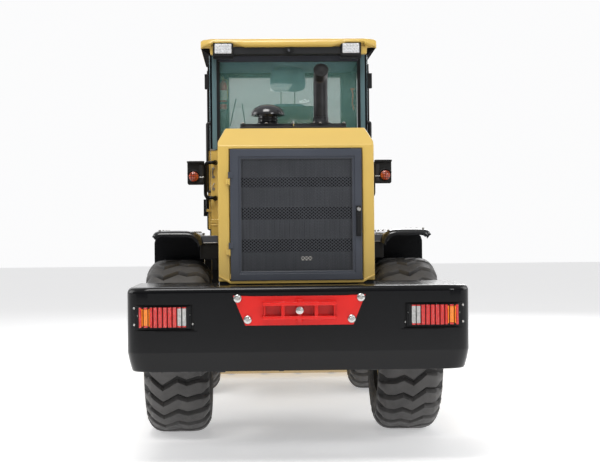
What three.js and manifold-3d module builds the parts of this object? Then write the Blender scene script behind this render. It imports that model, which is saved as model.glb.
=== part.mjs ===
// Articulated wheel loader, rear engine, front bucket. Millimetres, +Z up, +Y forward, +X to the machine's right.
// Everything is drawn about the articulation pin (x = 0, y = 0); the whole model is then shifted along Y by Y_SHIFT
// so that the origin is the centre of the footprint, with the tyres standing on z = 0.
import * as THREE from 'three';
import Module from 'manifold-3d';
import * as BufferGeometryUtils from 'three/addons/utils/BufferGeometryUtils.js';

const wasm = await Module();
wasm.setup();

// ---------- driving dimensions ----------
const SIZE = 1.13;                                   // lengths below times SIZE are the real millimetres
const FRONT_AXLE_Y = 1425, REAR_AXLE_Y = -1425;      // pivot midway between the axles
const TYRE_R = 662, TYRE_W = 484, HALF_TRACK = 868, RIM_R = 316;
const AXLE_Z = TYRE_R;
const CW_REAR_Y = -3225, CW_HALF_W = 1125, CW_TOP = 1180, CW_BOTTOM = 628;
const HOOD_HALF_W = 530, HOOD_TOP = 2248, HOOD_BOTTOM = 1200, HOOD_REAR_Y = -2830, HOOD_FRONT_Y = -1175;
const CAB_HALF_W = 625, CAB_REAR_Y = -1150, CAB_FRONT_Y = 100, CAB_FLOOR = 1500, CAB_EAVES = 2945, ROOF_TOP = 3060;
const ROOF_HALF_W = 694;
const FENDER_TOP = 1549, FENDER_REAR_Y = -1750;
const RAIL_IN = 270, RAIL_OUT = 325;                  // rear frame rails
const PLATE_IN = 415, PLATE_OUT = 455;               // front frame side plates
const BOOM_IN = 330, BOOM_OUT = 400;                 // boom arm faces
// lift linkage, side view [y, z]
const A = [640, 1900];                               // boom pivot
const G = [2400, 290];                               // bucket hinge
const P = [1785, 1202];                              // bellcrank pivot on the boom
const CRANK_R = 400, CRANK_DIR = 74;                 // bellcrank upper arm equals the bucket's pin spacing
const TILT_R = 260;                                  // bellcrank lower arm, pointing straight down at rest
const LIFT_BASE = [380, 640], LIFT_EYE = [1266, 1355];
const LIFT_X = 245;
const STEER_BASE = [480, -750], STEER_EYE = [430, 330], STEER_Z = 700;
const BUCKET_HALF_W = 1240, BUCKET_EDGE_Y = 3500;
const GAP = 0.3;
const HITCH_REAR_Y = CW_REAR_Y - 100;
const Y_SHIFT = -(BUCKET_EDGE_Y + HITCH_REAR_Y) / 2;

// ---------- helpers ----------
const rad = (d) => (d * Math.PI) / 180;
const polar = (o, r, d) => [o[0] + r * Math.cos(rad(d)), o[1] + r * Math.sin(rad(d))];

function solid(geometry) {
  const g = geometry.clone();
  g.deleteAttribute('normal');
  g.deleteAttribute('uv');
  const m = BufferGeometryUtils.mergeVertices(g, 1e-3);
  const v = new Float32Array(m.attributes.position.array), src = m.index.array, t = [];
  let volume = 0;
  for (let i = 0; i < src.length; i += 3) {
    const [a, b, c] = [src[i], src[i + 1], src[i + 2]];
    if (a === b || b === c || a === c) continue;
    t.push(a, b, c);
    volume += v[3 * a] * (v[3 * b + 1] * v[3 * c + 2] - v[3 * b + 2] * v[3 * c + 1])
      + v[3 * a + 1] * (v[3 * b + 2] * v[3 * c] - v[3 * b] * v[3 * c + 2])
      + v[3 * a + 2] * (v[3 * b] * v[3 * c + 1] - v[3 * b + 1] * v[3 * c]);
  }
  if (volume < 0) for (let i = 0; i < t.length; i += 3) [t[i], t[i + 1]] = [t[i + 1], t[i]];
  const mesh = new wasm.Mesh({ numProp: 3, vertProperties: v, triVerts: new Uint32Array(t) });
  return new wasm.Manifold(mesh);
}
const union = (...list) => list.reduce((a, b) => a.add(b));
const cut = (a, ...list) => list.reduce((x, b) => x.subtract(b), a);

function box(x0, x1, y0, y1, z0, z1) {
  const g = new THREE.BoxGeometry(x1 - x0, y1 - y0, z1 - z0);
  g.translate((x0 + x1) / 2, (y0 + y1) / 2, (z0 + z1) / 2);
  return solid(g);
}
function shapeOf(points) {
  const s = new THREE.Shape();
  points.forEach(([u, v], i) => (i ? s.lineTo(u, v) : s.moveTo(u, v)));
  s.closePath();
  return s;
}
// profile in [y, z], extruded from x0 to x1
function prismX(points, x0, x1) {
  const g = new THREE.ExtrudeGeometry(shapeOf(points), { depth: x1 - x0, bevelEnabled: false });
  g.applyMatrix4(new THREE.Matrix4().set(0, 0, 1, x0, 1, 0, 0, 0, 0, 1, 0, 0, 0, 0, 0, 1));
  return solid(g);
}
// profile in [x, z], extruded from y0 to y1
function prismY(points, y0, y1) {
  const g = new THREE.ExtrudeGeometry(shapeOf(points), { depth: y1 - y0, bevelEnabled: false });
  g.applyMatrix4(new THREE.Matrix4().set(1, 0, 0, 0, 0, 0, -1, y1, 0, 1, 0, 0, 0, 0, 0, 1));
  return solid(g);
}
// profile in [x, y], extruded from z0 to z1
function prismZ(points, z0, z1) {
  const g = new THREE.ExtrudeGeometry(shapeOf(points), { depth: z1 - z0, bevelEnabled: false });
  g.translate(0, 0, z0);
  return solid(g);
}
// cylinder between two points
function rod(a, b, r, seg = 14, r2 = r) {
  const va = new THREE.Vector3(...a), vb = new THREE.Vector3(...b);
  const d = vb.clone().sub(va);
  const g = new THREE.CylinderGeometry(r2, r, d.length(), seg);
  g.translate(0, d.length() / 2, 0);
  g.applyQuaternion(new THREE.Quaternion().setFromUnitVectors(new THREE.Vector3(0, 1, 0), d.normalize()));
  g.translate(va.x, va.y, va.z);
  return solid(g);
}
const pinX = (x0, x1, [y, z], r, seg = 14) => rod([x0, y, z], [x1, y, z], r, seg);
const pinZ = (x, y, z0, z1, r, seg = 14) => rod([x, y, z0], [x, y, z1], r, seg);
// bar with round ends between two side-view points, from x0 to x1
function bar(p, q, r1, r2, x0, x1, n = 7) {
  const d = Math.atan2(q[1] - p[1], q[0] - p[0]);
  const pts = [];
  for (let i = 0; i <= n; i++) { const t = d + Math.PI / 2 + (Math.PI * i) / n; pts.push([p[0] + r1 * Math.cos(t), p[1] + r1 * Math.sin(t)]); }
  for (let i = 0; i <= n; i++) { const t = d - Math.PI / 2 + (Math.PI * i) / n; pts.push([q[0] + r2 * Math.cos(t), q[1] + r2 * Math.sin(t)]); }
  return prismX(pts, x0, x1);
}
const mirrorX = (m) => m.mirror([1, 0, 0]);
const both = (m) => union(m, mirrorX(m));

const group = new THREE.Group();
group.name = 'wheel_loader';
const mats = {};
function material(key, color, roughness, metalness, extra = {}) {
  mats[key] = () => new THREE.MeshStandardMaterial({ color, roughness, metalness, ...extra });
}
material('yellow', 0xe3a800, 0.42, 0.1);
material('black', 0x17181b, 0.3, 0.2);
material('dark', 0x24262a, 0.6, 0.3);
material('rubber', 0x1c1c1d, 0.9, 0.0);
material('steel', 0x6f7276, 0.45, 0.8);
material('chrome', 0xc9ccd0, 0.12, 1.0);
material('red', 0xa81410, 0.4, 0.1);
material('lens_red', 0xc01612, 0.15, 0.0);
material('glass', 0x9ec4c2, 0.05, 0.0, { transparent: true, opacity: 0.35 });
material('seat', 0x2c2f36, 0.95, 0.0);
material('cast', 0x3a3c3f, 0.65, 0.5);

function node(name, m, mat) {
  const out = m.getMesh();
  const g = new THREE.BufferGeometry();
  const n = out.vertProperties.length / out.numProp;
  const pos = new Float32Array(n * 3);
  for (let i = 0; i < n; i++) for (let k = 0; k < 3; k++) pos[i * 3 + k] = SIZE * (out.vertProperties[i * out.numProp + k] + (k === 1 ? Y_SHIFT : 0));
  g.setAttribute('position', new THREE.BufferAttribute(pos, 3));
  g.setIndex(new THREE.BufferAttribute(new Uint32Array(out.triVerts), 1));
  g.computeVertexNormals();
  const mesh = new THREE.Mesh(g, mats[mat]());
  mesh.name = name;
  group.add(mesh);
}

// ---------- wheels: tyre and rim, four times ----------
function lathe(profile, seg) {
  const g = new THREE.LatheGeometry(profile.map(([r, u]) => new THREE.Vector2(r, u)), seg);
  return g;
}
function wheel(tag, sx, y) {
  const h = TYRE_W / 2;
  const tp = [[RIM_R, -h + 90], [RIM_R + 80, -h + 22], [RIM_R + 180, -h], [TYRE_R - 40, -h + 24], [TYRE_R, -h + 62],
    [TYRE_R, h - 62], [TYRE_R - 40, h - 24], [RIM_R + 180, h], [RIM_R + 80, h - 22], [RIM_R, h - 90], [RIM_R, -h + 90]];
  const place = (g) => {
    g.rotateZ(-Math.PI / 2);          // lathe axis Y becomes +X
    if (sx < 0) g.rotateY(Math.PI);
    g.translate(sx * HALF_TRACK, y, AXLE_Z);
    return solid(g);
  };
  node('tyre_' + tag, place(lathe(tp, 28)), 'rubber');
  const r = RIM_R - GAP;
  const rp = [[0, -20], [100, -20], [225, -60], [250, -140], [r, -h + 90], [r, h - 90], [r - 32, h - 90], [260, 45], [218, 84], [146, 84], [128, 122], [0, 124]];
  node('rim_' + tag, place(lathe(rp, 28)), 'yellow');
}
wheel('front_left', -1, FRONT_AXLE_Y);
wheel('front_right', 1, FRONT_AXLE_Y);
wheel('rear_left', -1, REAR_AXLE_Y);
wheel('rear_right', 1, REAR_AXLE_Y);

function axle(name, y) {
  const end = HALF_TRACK - 26;
  node(name, union(
    rod([-end, y, AXLE_Z], [end, y, AXLE_Z], 88, 16),
    both(pinX(520, 718, [y, AXLE_Z], 172, 20)),
    pinX(-180, 180, [y, AXLE_Z], 185, 20),
    rod([0, y - 230, AXLE_Z], [0, y + 230, AXLE_Z], 90, 14),
  ), 'cast');
}

// ---------- rear frame ----------
const FORK = (z0, z1) => prismZ([[-150, -430], [150, -430], [150, 10], [110, 75], [45, 110], [-45, 110], [-110, 75], [-150, 10]], z0, z1);
node('rear_frame', union(
  both(box(RAIL_IN, RAIL_OUT, -2950, -400, 780, 1120)),
  box(-280, 280, -2950, -2860, 780, 1120),
  box(-280, 280, -1150, -1090, 860, 1100),
  both(box(265, 330, -1520, -1330, AXLE_Z + 88 + 2, 800)),
  both(box(240, 280, -450, -400, 780, 1120)),
  box(-RAIL_OUT, RAIL_OUT, -450, -400, 470, 1130),
  FORK(1080, 1130), FORK(470, 520),
  pinZ(0, 0, 1000, 1130, 55, 20), pinZ(0, 0, 470, 600, 55, 20),
  both(box(280, 530, STEER_BASE[1] - 50, STEER_BASE[1] + 50, 748, 790)),
  both(pinZ(STEER_BASE[0], STEER_BASE[1], 655, 760, 22)),
  both(box(300, 612, -1500, -1420, 1092, 1150)),
  both(box(300, 690, -800, -720, 1092, 1150)),
  both(box(562, 612, -1500, -1420, 1100, 1330 - GAP)),
  both(box(635, 690, -800, -720, 1100, 1330 - GAP)),
), 'black');
axle('rear_axle', REAR_AXLE_Y);

// ---------- counterweight, hitch plate, tail lamps ----------
const cwPlan = [[-1125, -2350], [-1125, -3090], [-1100, -3150], [-1040, -3200], [-940, CW_REAR_Y], [940, CW_REAR_Y], [1040, -3200], [1100, -3150], [1125, -3090], [1125, -2350]];
const cwSide = [[-3190, CW_TOP], [-3213, CW_TOP - 12], [CW_REAR_Y, CW_TOP - 35], [CW_REAR_Y, 752], [-3200, CW_BOTTOM], [-2420, CW_BOTTOM], [-2350, 760], [-2350, 1080], [-2400, CW_TOP]];
const RECESS = box(683, 1150, -3260, -3190, 899, 1066);
node('counterweight', cut(
  prismZ(cwPlan, CW_BOTTOM - 10, CW_TOP + 10).intersect(prismX(cwSide, -1130, 1130)),
  box(-410, 410, -2960, -2300, 600, 1300),
  RECESS, mirrorX(RECESS),
), 'black');
const HY = CW_REAR_Y - GAP;
node('hitch_plate', union(
  prismY([[-351, 928], [351, 928], [431, 1123], [300, 1117], [-300, 1117], [-431, 1123]], HY - 22, HY),
  both(box(96, 120, HITCH_REAR_Y + 12, HY - 10, 970, 1080)),
  box(-235, 235, HITCH_REAR_Y, HY - 10, 1058, 1078),
  box(-235, 235, HITCH_REAR_Y, HY - 10, 970, 990),
  pinZ(0, HITCH_REAR_Y + 38, 950, 1098, 20, 20),
), 'red');
for (const [tag, sx] of [['left', -1], ['right', 1]]) {
  const m = box(722, 1041, -3212, -3190 - GAP, 920, 1050);
  node('tail_lamp_' + tag, sx < 0 ? mirrorX(m) : m, 'lens_red');
}

// ---------- engine bay ----------
node('engine_block', union(box(-255, 255, -2480, -1450, 880, 1700), box(-269, 269, -2350, -2250, 900, 980), box(-269, 269, -1700, -1600, 900, 980)), 'cast');
node('radiator', box(-400, 400, -2700, -2580, 1215, 2040), 'dark');

const hoodSection = (o) => [[-HOOD_HALF_W + o, HOOD_BOTTOM - (o ? 50 : 0)], [HOOD_HALF_W - o, HOOD_BOTTOM - (o ? 50 : 0)], [HOOD_HALF_W - o, 2150 - o * 0.4],
  [480 - o * 0.6, HOOD_TOP - o], [-480 + o * 0.6, HOOD_TOP - o], [-HOOD_HALF_W + o, 2150 - o * 0.4]];
const hoodSide = (o) => [[HOOD_REAR_Y + o, HOOD_BOTTOM - (o ? 60 : 0)], [HOOD_FRONT_Y + (o ? 50 : 0), HOOD_BOTTOM - (o ? 60 : 0)], [HOOD_FRONT_Y + (o ? 50 : 0), HOOD_TOP - o],
  [HOOD_REAR_Y + 150 + o * 0.5, HOOD_TOP - o], [HOOD_REAR_Y + o, 2120 - o * 0.5]];
const DOOR_Y = [-2560, -1420], DOOR_Z = [1530, 2060];
const HOOD_T = 16;
const hoodOpening = box(500, 540, DOOR_Y[0], DOOR_Y[1], DOOR_Z[0], DOOR_Z[1]);
node('engine_hood', cut(
  prismY(hoodSection(0), HOOD_REAR_Y, HOOD_FRONT_Y).intersect(prismX(hoodSide(0), -600, 600)),
  prismY(hoodSection(HOOD_T), HOOD_REAR_Y - 10, HOOD_FRONT_Y + 60).intersect(prismX(hoodSide(HOOD_T), -600, 600)),
  hoodOpening, mirrorX(hoodOpening),
  box(-453, 451, HOOD_REAR_Y - 10, HOOD_REAR_Y + 30, HOOD_BOTTOM - 10, 2100),
), 'yellow');
for (const [tag, sx] of [['left', -1], ['right', 1]]) {
  const m = union(
    box(HOOD_HALF_W - HOOD_T, HOOD_HALF_W, DOOR_Y[0] + 5.5, DOOR_Y[1] - 5.5, DOOR_Z[0] + 5.5, DOOR_Z[1] - 6),
    box(HOOD_HALF_W - 2, HOOD_HALF_W + 14, DOOR_Y[0] + 480, DOOR_Y[0] + 640, DOOR_Z[0] + 60, DOOR_Z[0] + 90),
  );
  node('hood_door_' + tag, sx < 0 ? mirrorX(m) : m, 'yellow');
}
// rear grille door: frame with an open field crossed by bars
{
  const y0 = HOOD_REAR_Y - 14, y1 = HOOD_REAR_Y + 12;
  let g = cut(box(-448, 446, y0, y1, HOOD_BOTTOM + 6, 2095), box(-388, 396, y0 - 5, y1 + 5, 1249, 2044));
  const bars = [];
  for (let i = 1; i < 4; i++) { const z = 1249 + (795 * i) / 4; bars.push(box(-394, 402, y0 + 10, y0 + 18, z - 5, z + 5)); }
  for (let i = 1; i < 3; i++) { const x = -388 + (784 * i) / 3; bars.push(box(x - 5, x + 5, y0 + 10, y0 + 18, 1243, 2050)); }
  g = union(g, ...bars, box(404, 438, y0 - 22, y0 + 2, 1500, 1700));
  node('grille_door', g, 'black');
}
node('intake_cowl', prismX([[-2180, HOOD_TOP + GAP], [-1450, HOOD_TOP + GAP], [-1450, 2322], [-2120, 2322], [-2180, 2296]], -380, 390), 'dark');
node('exhaust_pipe', cut(union(
  pinZ(212, -2000, 2322 + GAP, 2655, 52, 16),
  rod([212, -1990, 2640], [212, -2095, 2700], 53, 16),
  pinZ(212, -2000, 2322 + GAP, 2345, 78, 16),
), rod([212, -2040, 2668.6], [212, -2150, 2731.4], 46, 16)), 'dark');
{
  const g = new THREE.LatheGeometry([[0, 0], [84, 0], [84, 14], [66, 20], [66, 66], [112, 68], [124, 78], [124, 92], [112, 118], [80, 138], [40, 149], [0, 152]].map(([r, h]) => new THREE.Vector2(r, h)), 18);
  g.rotateX(Math.PI / 2);
  g.translate(-178, -2000, 2322 + GAP);
  node('air_precleaner', solid(g), 'dark');
}

// ---------- rear fenders, decks and steps ----------
for (const [tag, sx] of [['left', -1], ['right', 1]]) {
  const arch = [[668, 1455], [680, 1492], [704, 1520], [742, 1540], [790, FENDER_TOP], [1000, FENDER_TOP], [1036, 1541], [1056, 1510],
    [1044, 1506], [1028, 1527], [1000, 1534], [794, 1534], [752, 1526], [716, 1508], [695, 1484], [684, 1455]];
  const m = union(
    prismY(arch, FENDER_REAR_Y, -450),
    prismY([[696, 1080], [1082, 1080], [1082, 1440], [1046, 1512], [1028, 1536], [744, 1532], [704, 1512], [696, 1490]], -735, -715),
    box(560, 700, -1690, -1165, 1330, 1511), box(634, 700, -1170, -450, 1330, 1511),
    box(700, 722, -650, -450, 430, 1540), box(938, 960, -650, -450, 430, 1540),
    box(700, 960, -640, -460, 430, 460), box(700, 960, -640, -460, 790, 820), box(700, 960, -640, -460, 1150, 1180),
  );
  node('rear_fender_' + tag, sx < 0 ? mirrorX(m) : m, 'black');
}

// ---------- cab ----------
const plan = (o) => [[-CAB_HALF_W + o, CAB_REAR_Y + o], [CAB_HALF_W - o, CAB_REAR_Y + o], [CAB_HALF_W - o, -o * 0.3], [540 - o * 0.5, CAB_FRONT_Y - o], [-540 + o * 0.5, CAB_FRONT_Y - o], [-CAB_HALF_W + o, -o * 0.3]];
const WALL = 40, SILL = 2190;
const doorHole = (z0, z1) => box(CAB_HALF_W - 60, CAB_HALF_W + 10, -1075, -75, z0, z1);
node('cab_base', cut(
  union(prismZ(plan(0), 1400, SILL), prismZ(plan(90), 1200, 1410)),
  prismZ(plan(WALL), CAB_FLOOR, SILL + 10),
  doorHole(CAB_FLOOR + 70, SILL + 10), mirrorX(doorHole(CAB_FLOOR + 70, SILL + 10)),
  box(-495, 495, 30, 120, 1760, SILL + 10),
  prismZ(plan(130), 1190, 1370),
), 'yellow');
node('cab_frame', cut(
  prismZ(plan(0), SILL + GAP, CAB_EAVES),
  prismZ(plan(WALL), SILL - 10, CAB_EAVES + 10),
  doorHole(SILL - 10, 2860), mirrorX(doorHole(SILL - 10, 2860)),
  box(-495, 495, 30, 120, SILL - 10, 2900),
  box(-560, 560, CAB_REAR_Y - 10, CAB_REAR_Y + 50, 2200, 2892),
), 'black');
node('rear_window', box(-560 + GAP, 560 - GAP, CAB_REAR_Y + 12, CAB_REAR_Y + 20, 2200 + GAP, 2892 - GAP), 'glass');
node('windshield', box(-495 + GAP, 495 - GAP, CAB_FRONT_Y - 22, CAB_FRONT_Y - 14, 1760 + GAP, 2900 - GAP), 'glass');
for (const [tag, sx] of [['left', -1], ['right', 1]]) {
  const x0 = CAB_HALF_W + 5.2, x1 = CAB_HALF_W + 21;
  const win = [-1010, -135, 1720, 2830];
  const m = union(cut(box(x0, x1, -1085, -65, CAB_FLOOR + 62, 2875), box(x0 - 5, x1 + 5, win[0], win[1], win[2], win[3])), box(x1 - 3, x1 + 30, -125, -95, 1980, 2130),
    pinZ(656, -1085, 2679, 2798, 13, 12), pinZ(656, -1085, 1700, 1820, 13, 12));
  const gl = box(x0 + 4, x0 + 12, win[0] + GAP, win[1] - GAP, win[2] + GAP, win[3] - GAP);
  node('cab_door_' + tag, sx < 0 ? mirrorX(m) : m, 'black');
  node('door_glass_' + tag, sx < 0 ? mirrorX(gl) : gl, 'glass');
}
{
  const h = 32, z0 = 2985, pts = [[-ROOF_HALF_W, -1215], [ROOF_HALF_W, -1215], [ROOF_HALF_W, -60], [560, 210], [-560, 210], [-ROOF_HALF_W, -60]];
  const g = new THREE.ExtrudeGeometry(shapeOf(pts), { depth: ROOF_TOP - z0 - 2 * h, bevelEnabled: true, bevelThickness: h, bevelSize: 40, bevelOffset: -40, bevelSegments: 3 });
  g.translate(0, 0, z0 + h);
  node('cab_roof', union(solid(g), prismZ([[-645, -1185], [645, -1185], [645, -60], [520, 165], [-520, 165], [-645, -60]], CAB_EAVES + GAP, 3020)), 'yellow');
}
node('driver_seat', union(
  box(-260, 260, -800, -330, 1880, 1990), box(-190, 190, -740, -360, CAB_FLOOR + GAP, 1890),
  prismX([[-860, 1900], [-730, 1900], [-790, 2550], [-910, 2550]], -235, 235),
  prismX([[-895, 2500], [-835, 2500], [-850, 2690], [-910, 2690]], -60, 60),
  prismX([[-940, 2672], [-842, 2672], [-855, 2880], [-948, 2880]], -146, 146),
), 'seat');
{
  const c = [0, -245, 2190];
  const t = new THREE.TorusGeometry(200, 16, 6, 20);
  t.rotateX(rad(-25)); t.translate(...c);
  node('steering_console', union(
    box(-150, 150, -60, 40, CAB_FLOOR + GAP, 2020),
    rod([0, -10, 1960], c, 32, 16), solid(t),
    rod([-205, c[1], c[2]], [205, c[1], c[2]], 12, 10),
  ), 'dark');
}
// side lamps on handrails at the cab's rear corners
for (const [tag, sx] of [['left', -1], ['right', 1]]) {
  const ry = CAB_REAR_Y - 55;
  const m = union(
    rod([590, CAB_REAR_Y - GAP, 2088], [590, ry, 2088], 13, 8), rod([590, CAB_REAR_Y - GAP, 1806], [590, ry, 1806], 13, 8),
    rod([577, ry, 2088], [668, ry, 2088], 13, 8), rod([577, ry, 1806], [668, ry, 1806], 13, 8),
    rod([668, ry, 1793], [668, ry, 2101], 13, 8),
    box(658, 808, ry - 40, ry + 20, 1908, 2098),
  );
  node('side_lamp_' + tag, sx < 0 ? mirrorX(m) : m, 'dark');
}

// ---------- front frame ----------
const sidePlate = prismX([[300, 800], [1180, 770], [1650, 770], [1700, 850], [1680, 960], [1250, 1120], [920, 1700], [800, 1990], [740, 2030], [560, 2030], [490, 1970], [480, 1320], [430, 1200], [300, 1150]], PLATE_IN, PLATE_OUT);
const KNUCKLE = (z0, z1) => prismZ([[-260, 320], [-150, 120], [-130, -10], [-90, -80], [-30, -112], [30, -112], [90, -80], [130, -10], [150, 120], [260, 320]], z0, z1);
const clevis = (x0, x1, y0, y1, z0, z1) => both(box(x0, x1, y0, y1, z0, z1));
node('front_frame', cut(union(
  both(sidePlate),
  box(-345, 345, 290, 320, 530, 1150), box(-PLATE_OUT, PLATE_OUT, 290, 320, 830, 1150),
  KNUCKLE(1010, 1070), KNUCKLE(530, 590),
  box(-PLATE_OUT, PLATE_OUT, 1160, 1225, 770, 800), box(-PLATE_OUT, PLATE_OUT, 1625, 1665, 770, 800),
  both(box(PLATE_IN, PLATE_OUT, 1340, 1510, AXLE_Z + 90, 780)),
  box(-PLATE_OUT, PLATE_OUT, 484, 518, 1500, 1760),
  clevis(48, 74, 500, 680, 1575, 1705),
  pinX(-86, 86, [A[0], A[1] - TILT_R], 30),
  both(pinX(324, 474, A, 45)), both(pinX(PLATE_IN - 5, PLATE_OUT + 12, A, 85, 16)),
  clevis(165, 190, 300, 425, 570, 710), clevis(300, 325, 300, 425, 570, 710),
  both(pinX(158, 332, LIFT_BASE, 25)),
  both(box(390, 454, 290, 375, 748, 840)),
), pinZ(0, 0, 990, 1090, 57.2, 20), pinZ(0, 0, 510, 610, 57.2, 20)), 'yellow');
axle('front_axle', FRONT_AXLE_Y);
for (const [tag, sx] of [['left', -1], ['right', 1]]) {
  const pts = [];
  const a0 = 46, a1 = 150;
  for (let i = 0; i <= 8; i++) pts.push(polar([FRONT_AXLE_Y, AXLE_Z], 770, a0 + ((a1 - a0) * i) / 8));
  for (let i = 8; i >= 0; i--) pts.push(polar([FRONT_AXLE_Y, AXLE_Z], 742, a0 + ((a1 - a0) * i) / 8));
  const m = union(
    prismX(pts, 640, 1110),
    box(PLATE_OUT + GAP, 690, 1060, 1120, 1330, 1360), box(PLATE_OUT + GAP, 500, 1060, 1120, 900, 1365),
    box(640, 700, 1060, 1120, 1335, 1700), prismX([[1070, 1690], [1180, 1690], [1180, 1850], [1090, 1850]], 580, 760),
    box(660, 700, 1040, 1130, 1300, 1400),
  );
  node('front_fender_' + tag, sx < 0 ? mirrorX(m) : m, 'black');
}

// ---------- boom, bellcrank, link, bucket ----------
const Q = polar(P, CRANK_R, CRANK_DIR), R = polar(G, CRANK_R, CRANK_DIR), T = [P[0], P[1] - TILT_R], B = [A[0], A[1] - TILT_R];
const CROSS = [985, 1700];
const arm = prismX([[600, 2005], [690, 2005], [1300, 1650], [1740, 1330], [1880, 1260], [2050, 1050], [2470, 330], [2478, 275], [2445, 225], [2390, 208], [2335, 230], [2290, 290], [1900, 850], [1650, 1020], [1250, 1280], [640, 1788], [560, 1830], [532, 1920], [555, 1980]], BOOM_IN, BOOM_OUT);
node('boom', cut(union(
  both(arm),
  pinX(-BOOM_IN - 5, BOOM_IN + 5, CROSS, 76, 16),
  both(pinX(285, BOOM_IN + 5, LIFT_EYE, 42)),
), both(pinX(300, 420, A, 47.5)), both(pinX(300, 420, P, 42)), both(pinX(300, 420, G, 40))), 'yellow');
node('bellcrank_pin', pinX(-BOOM_OUT - 18, BOOM_OUT + 18, P, 40, 14), 'steel');
node('bucket_pin', pinX(-438, 438, G, 38, 14), 'steel');
node('link_pin', pinX(-102, 102, Q, 28, 14), 'steel');
node('bellcrank', cut(union(
  both(bar(P, Q, 110, 62, 60, 90)), both(bar(P, T, 100, 52, 60, 90)),
  pinX(-90, 90, P, 75, 14),
  both(pinX(85, 104, T, 30)),
), pinX(-200, 200, P, 42, 14), pinX(-200, 200, Q, 29.6, 14)), 'yellow');
{
  const d = [(R[0] - Q[0]), (R[1] - Q[1])], L = Math.hypot(...d), u = [d[0] / L, d[1] / L], n = [-u[1], u[0]];
  const at = (s, h) => [Q[0] + u[0] * s + n[0] * h, Q[1] + u[1] * s + n[1] * h];
  const bow = prismX([at(20, -40), at(180, 62), at(500, 62), at(L - 300, 10), at(L - 150, -28), at(L, -40), at(L + 10, 30), at(L - 140, 44), at(L - 290, 86), at(510, 140), at(190, 146), at(60, 100), at(-10, 20)], -42, 42);
  node('bucket_link', cut(union(bow, pinX(-42, 42, Q, 58), pinX(-42, 42, R, 58)), pinX(-60, 60, Q, 29.6), pinX(-60, 60, R, 29.6)), 'yellow');
}
{
  const shell = [[BUCKET_EDGE_Y, 15], [2800, 15], [2630, 60], [2530, 160], [2500, 300], [2530, 470], [2600, 620], [2668, 860], [2725, 1110], [2757, 1106],
    [2699, 853], [2630, 606], [2560, 455], [2532, 305], [2560, 180], [2648, 92], [2805, 45], [3440, 45], [BUCKET_EDGE_Y, 27]];
  const cheek = [[BUCKET_EDGE_Y - 60, 20], [2800, 20], [2635, 65], [2535, 165], [2505, 300], [2535, 468], [2605, 618], [2672, 860], [2727, 1108], [2800, 1100], [3380, 330]];
  const ear = (x0, x1) => both(prismX([[2360, 215], [2550, 130], [2560, 560], [2440, 365], [2330, 330], [2318, 260]], x0, x1));
  const topEar = both(prismX([[R[0] - 58, R[1] - 20], [R[0] - 20, R[1] - 62], [2560, 500], [2670, 800], [R[0] + 10, R[1] + 66], [R[0] - 45, R[1] + 45]], 48, 78));
  node('bucket', cut(union(
    prismX(shell, -BUCKET_HALF_W, BUCKET_HALF_W),
    both(prismX(cheek, BUCKET_HALF_W - 28, BUCKET_HALF_W)),
    ear(296, 322), ear(408, 434), topEar,
    pinX(-90, 90, R, 28),
  ), pinX(-500, 500, G, 40)), 'yellow');
}

// ---------- cylinders ----------
// barrel and rod along a straight line; eyes lie across dir
function cylinder(names, a, b, o) {
  const va = new THREE.Vector3(...a), vb = new THREE.Vector3(...b), u = vb.clone().sub(va).normalize();
  const at = (s) => va.clone().addScaledVector(u, s).toArray();
  const across = (p, r, w, c = 0) => {
    const e = new THREE.Vector3(...o.across);
    const q = new THREE.Vector3(...p);
    return rod(q.clone().addScaledVector(e, c - w).toArray(), q.clone().addScaledVector(e, c + w).toArray(), r, 14);
  };
  const L = vb.distanceTo(va);
  node(names[0], cut(union(
    across(a, o.eye, o.half), rod(at(10), at(o.neck + 10), o.half - 4, 10), rod(at(o.neck), at(o.end), o.r, 16),
  ), across(a, o.pin * 1.04 + 0.8, o.half + 60), rod(at(o.bore), at(o.end + 40), o.rod + 1, 14)), o.mat || 'black');
  node(names[1], union(rod(at(o.start), at(L), o.rod, 14), across(b, o.eye, o.half)), 'chrome');
}
for (const [tag, sx] of [['left', -1], ['right', 1]]) {
  cylinder(['lift_barrel_' + tag, 'lift_rod_' + tag], [sx * LIFT_X, ...LIFT_BASE], [sx * LIFT_X, ...LIFT_EYE],
    { across: [1, 0, 0], eye: 48, half: 34, r: 62, rod: 35, end: 1010, bore: 120, start: 130, pin: 25, neck: 92 });
  cylinder(['steer_barrel_' + tag, 'steer_rod_' + tag], [sx * STEER_BASE[0], STEER_BASE[1], STEER_Z], [sx * STEER_EYE[0], STEER_EYE[1], STEER_Z],
    { across: [0, 0, 1], eye: 38, half: 32, r: 42, rod: 24, end: 700, bore: 75, start: 375, pin: 22, neck: 55 });
}
cylinder(['tilt_barrel', 'tilt_rod'], [0, ...B], [0, ...T], { across: [1, 0, 0], eye: 54, half: 38, r: 72, rod: 36, end: 900, bore: 140, start: 300, pin: 30, neck: 112 });

export default group;
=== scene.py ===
import bpy, bmesh, math, random
from mathutils import Vector, Matrix


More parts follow.
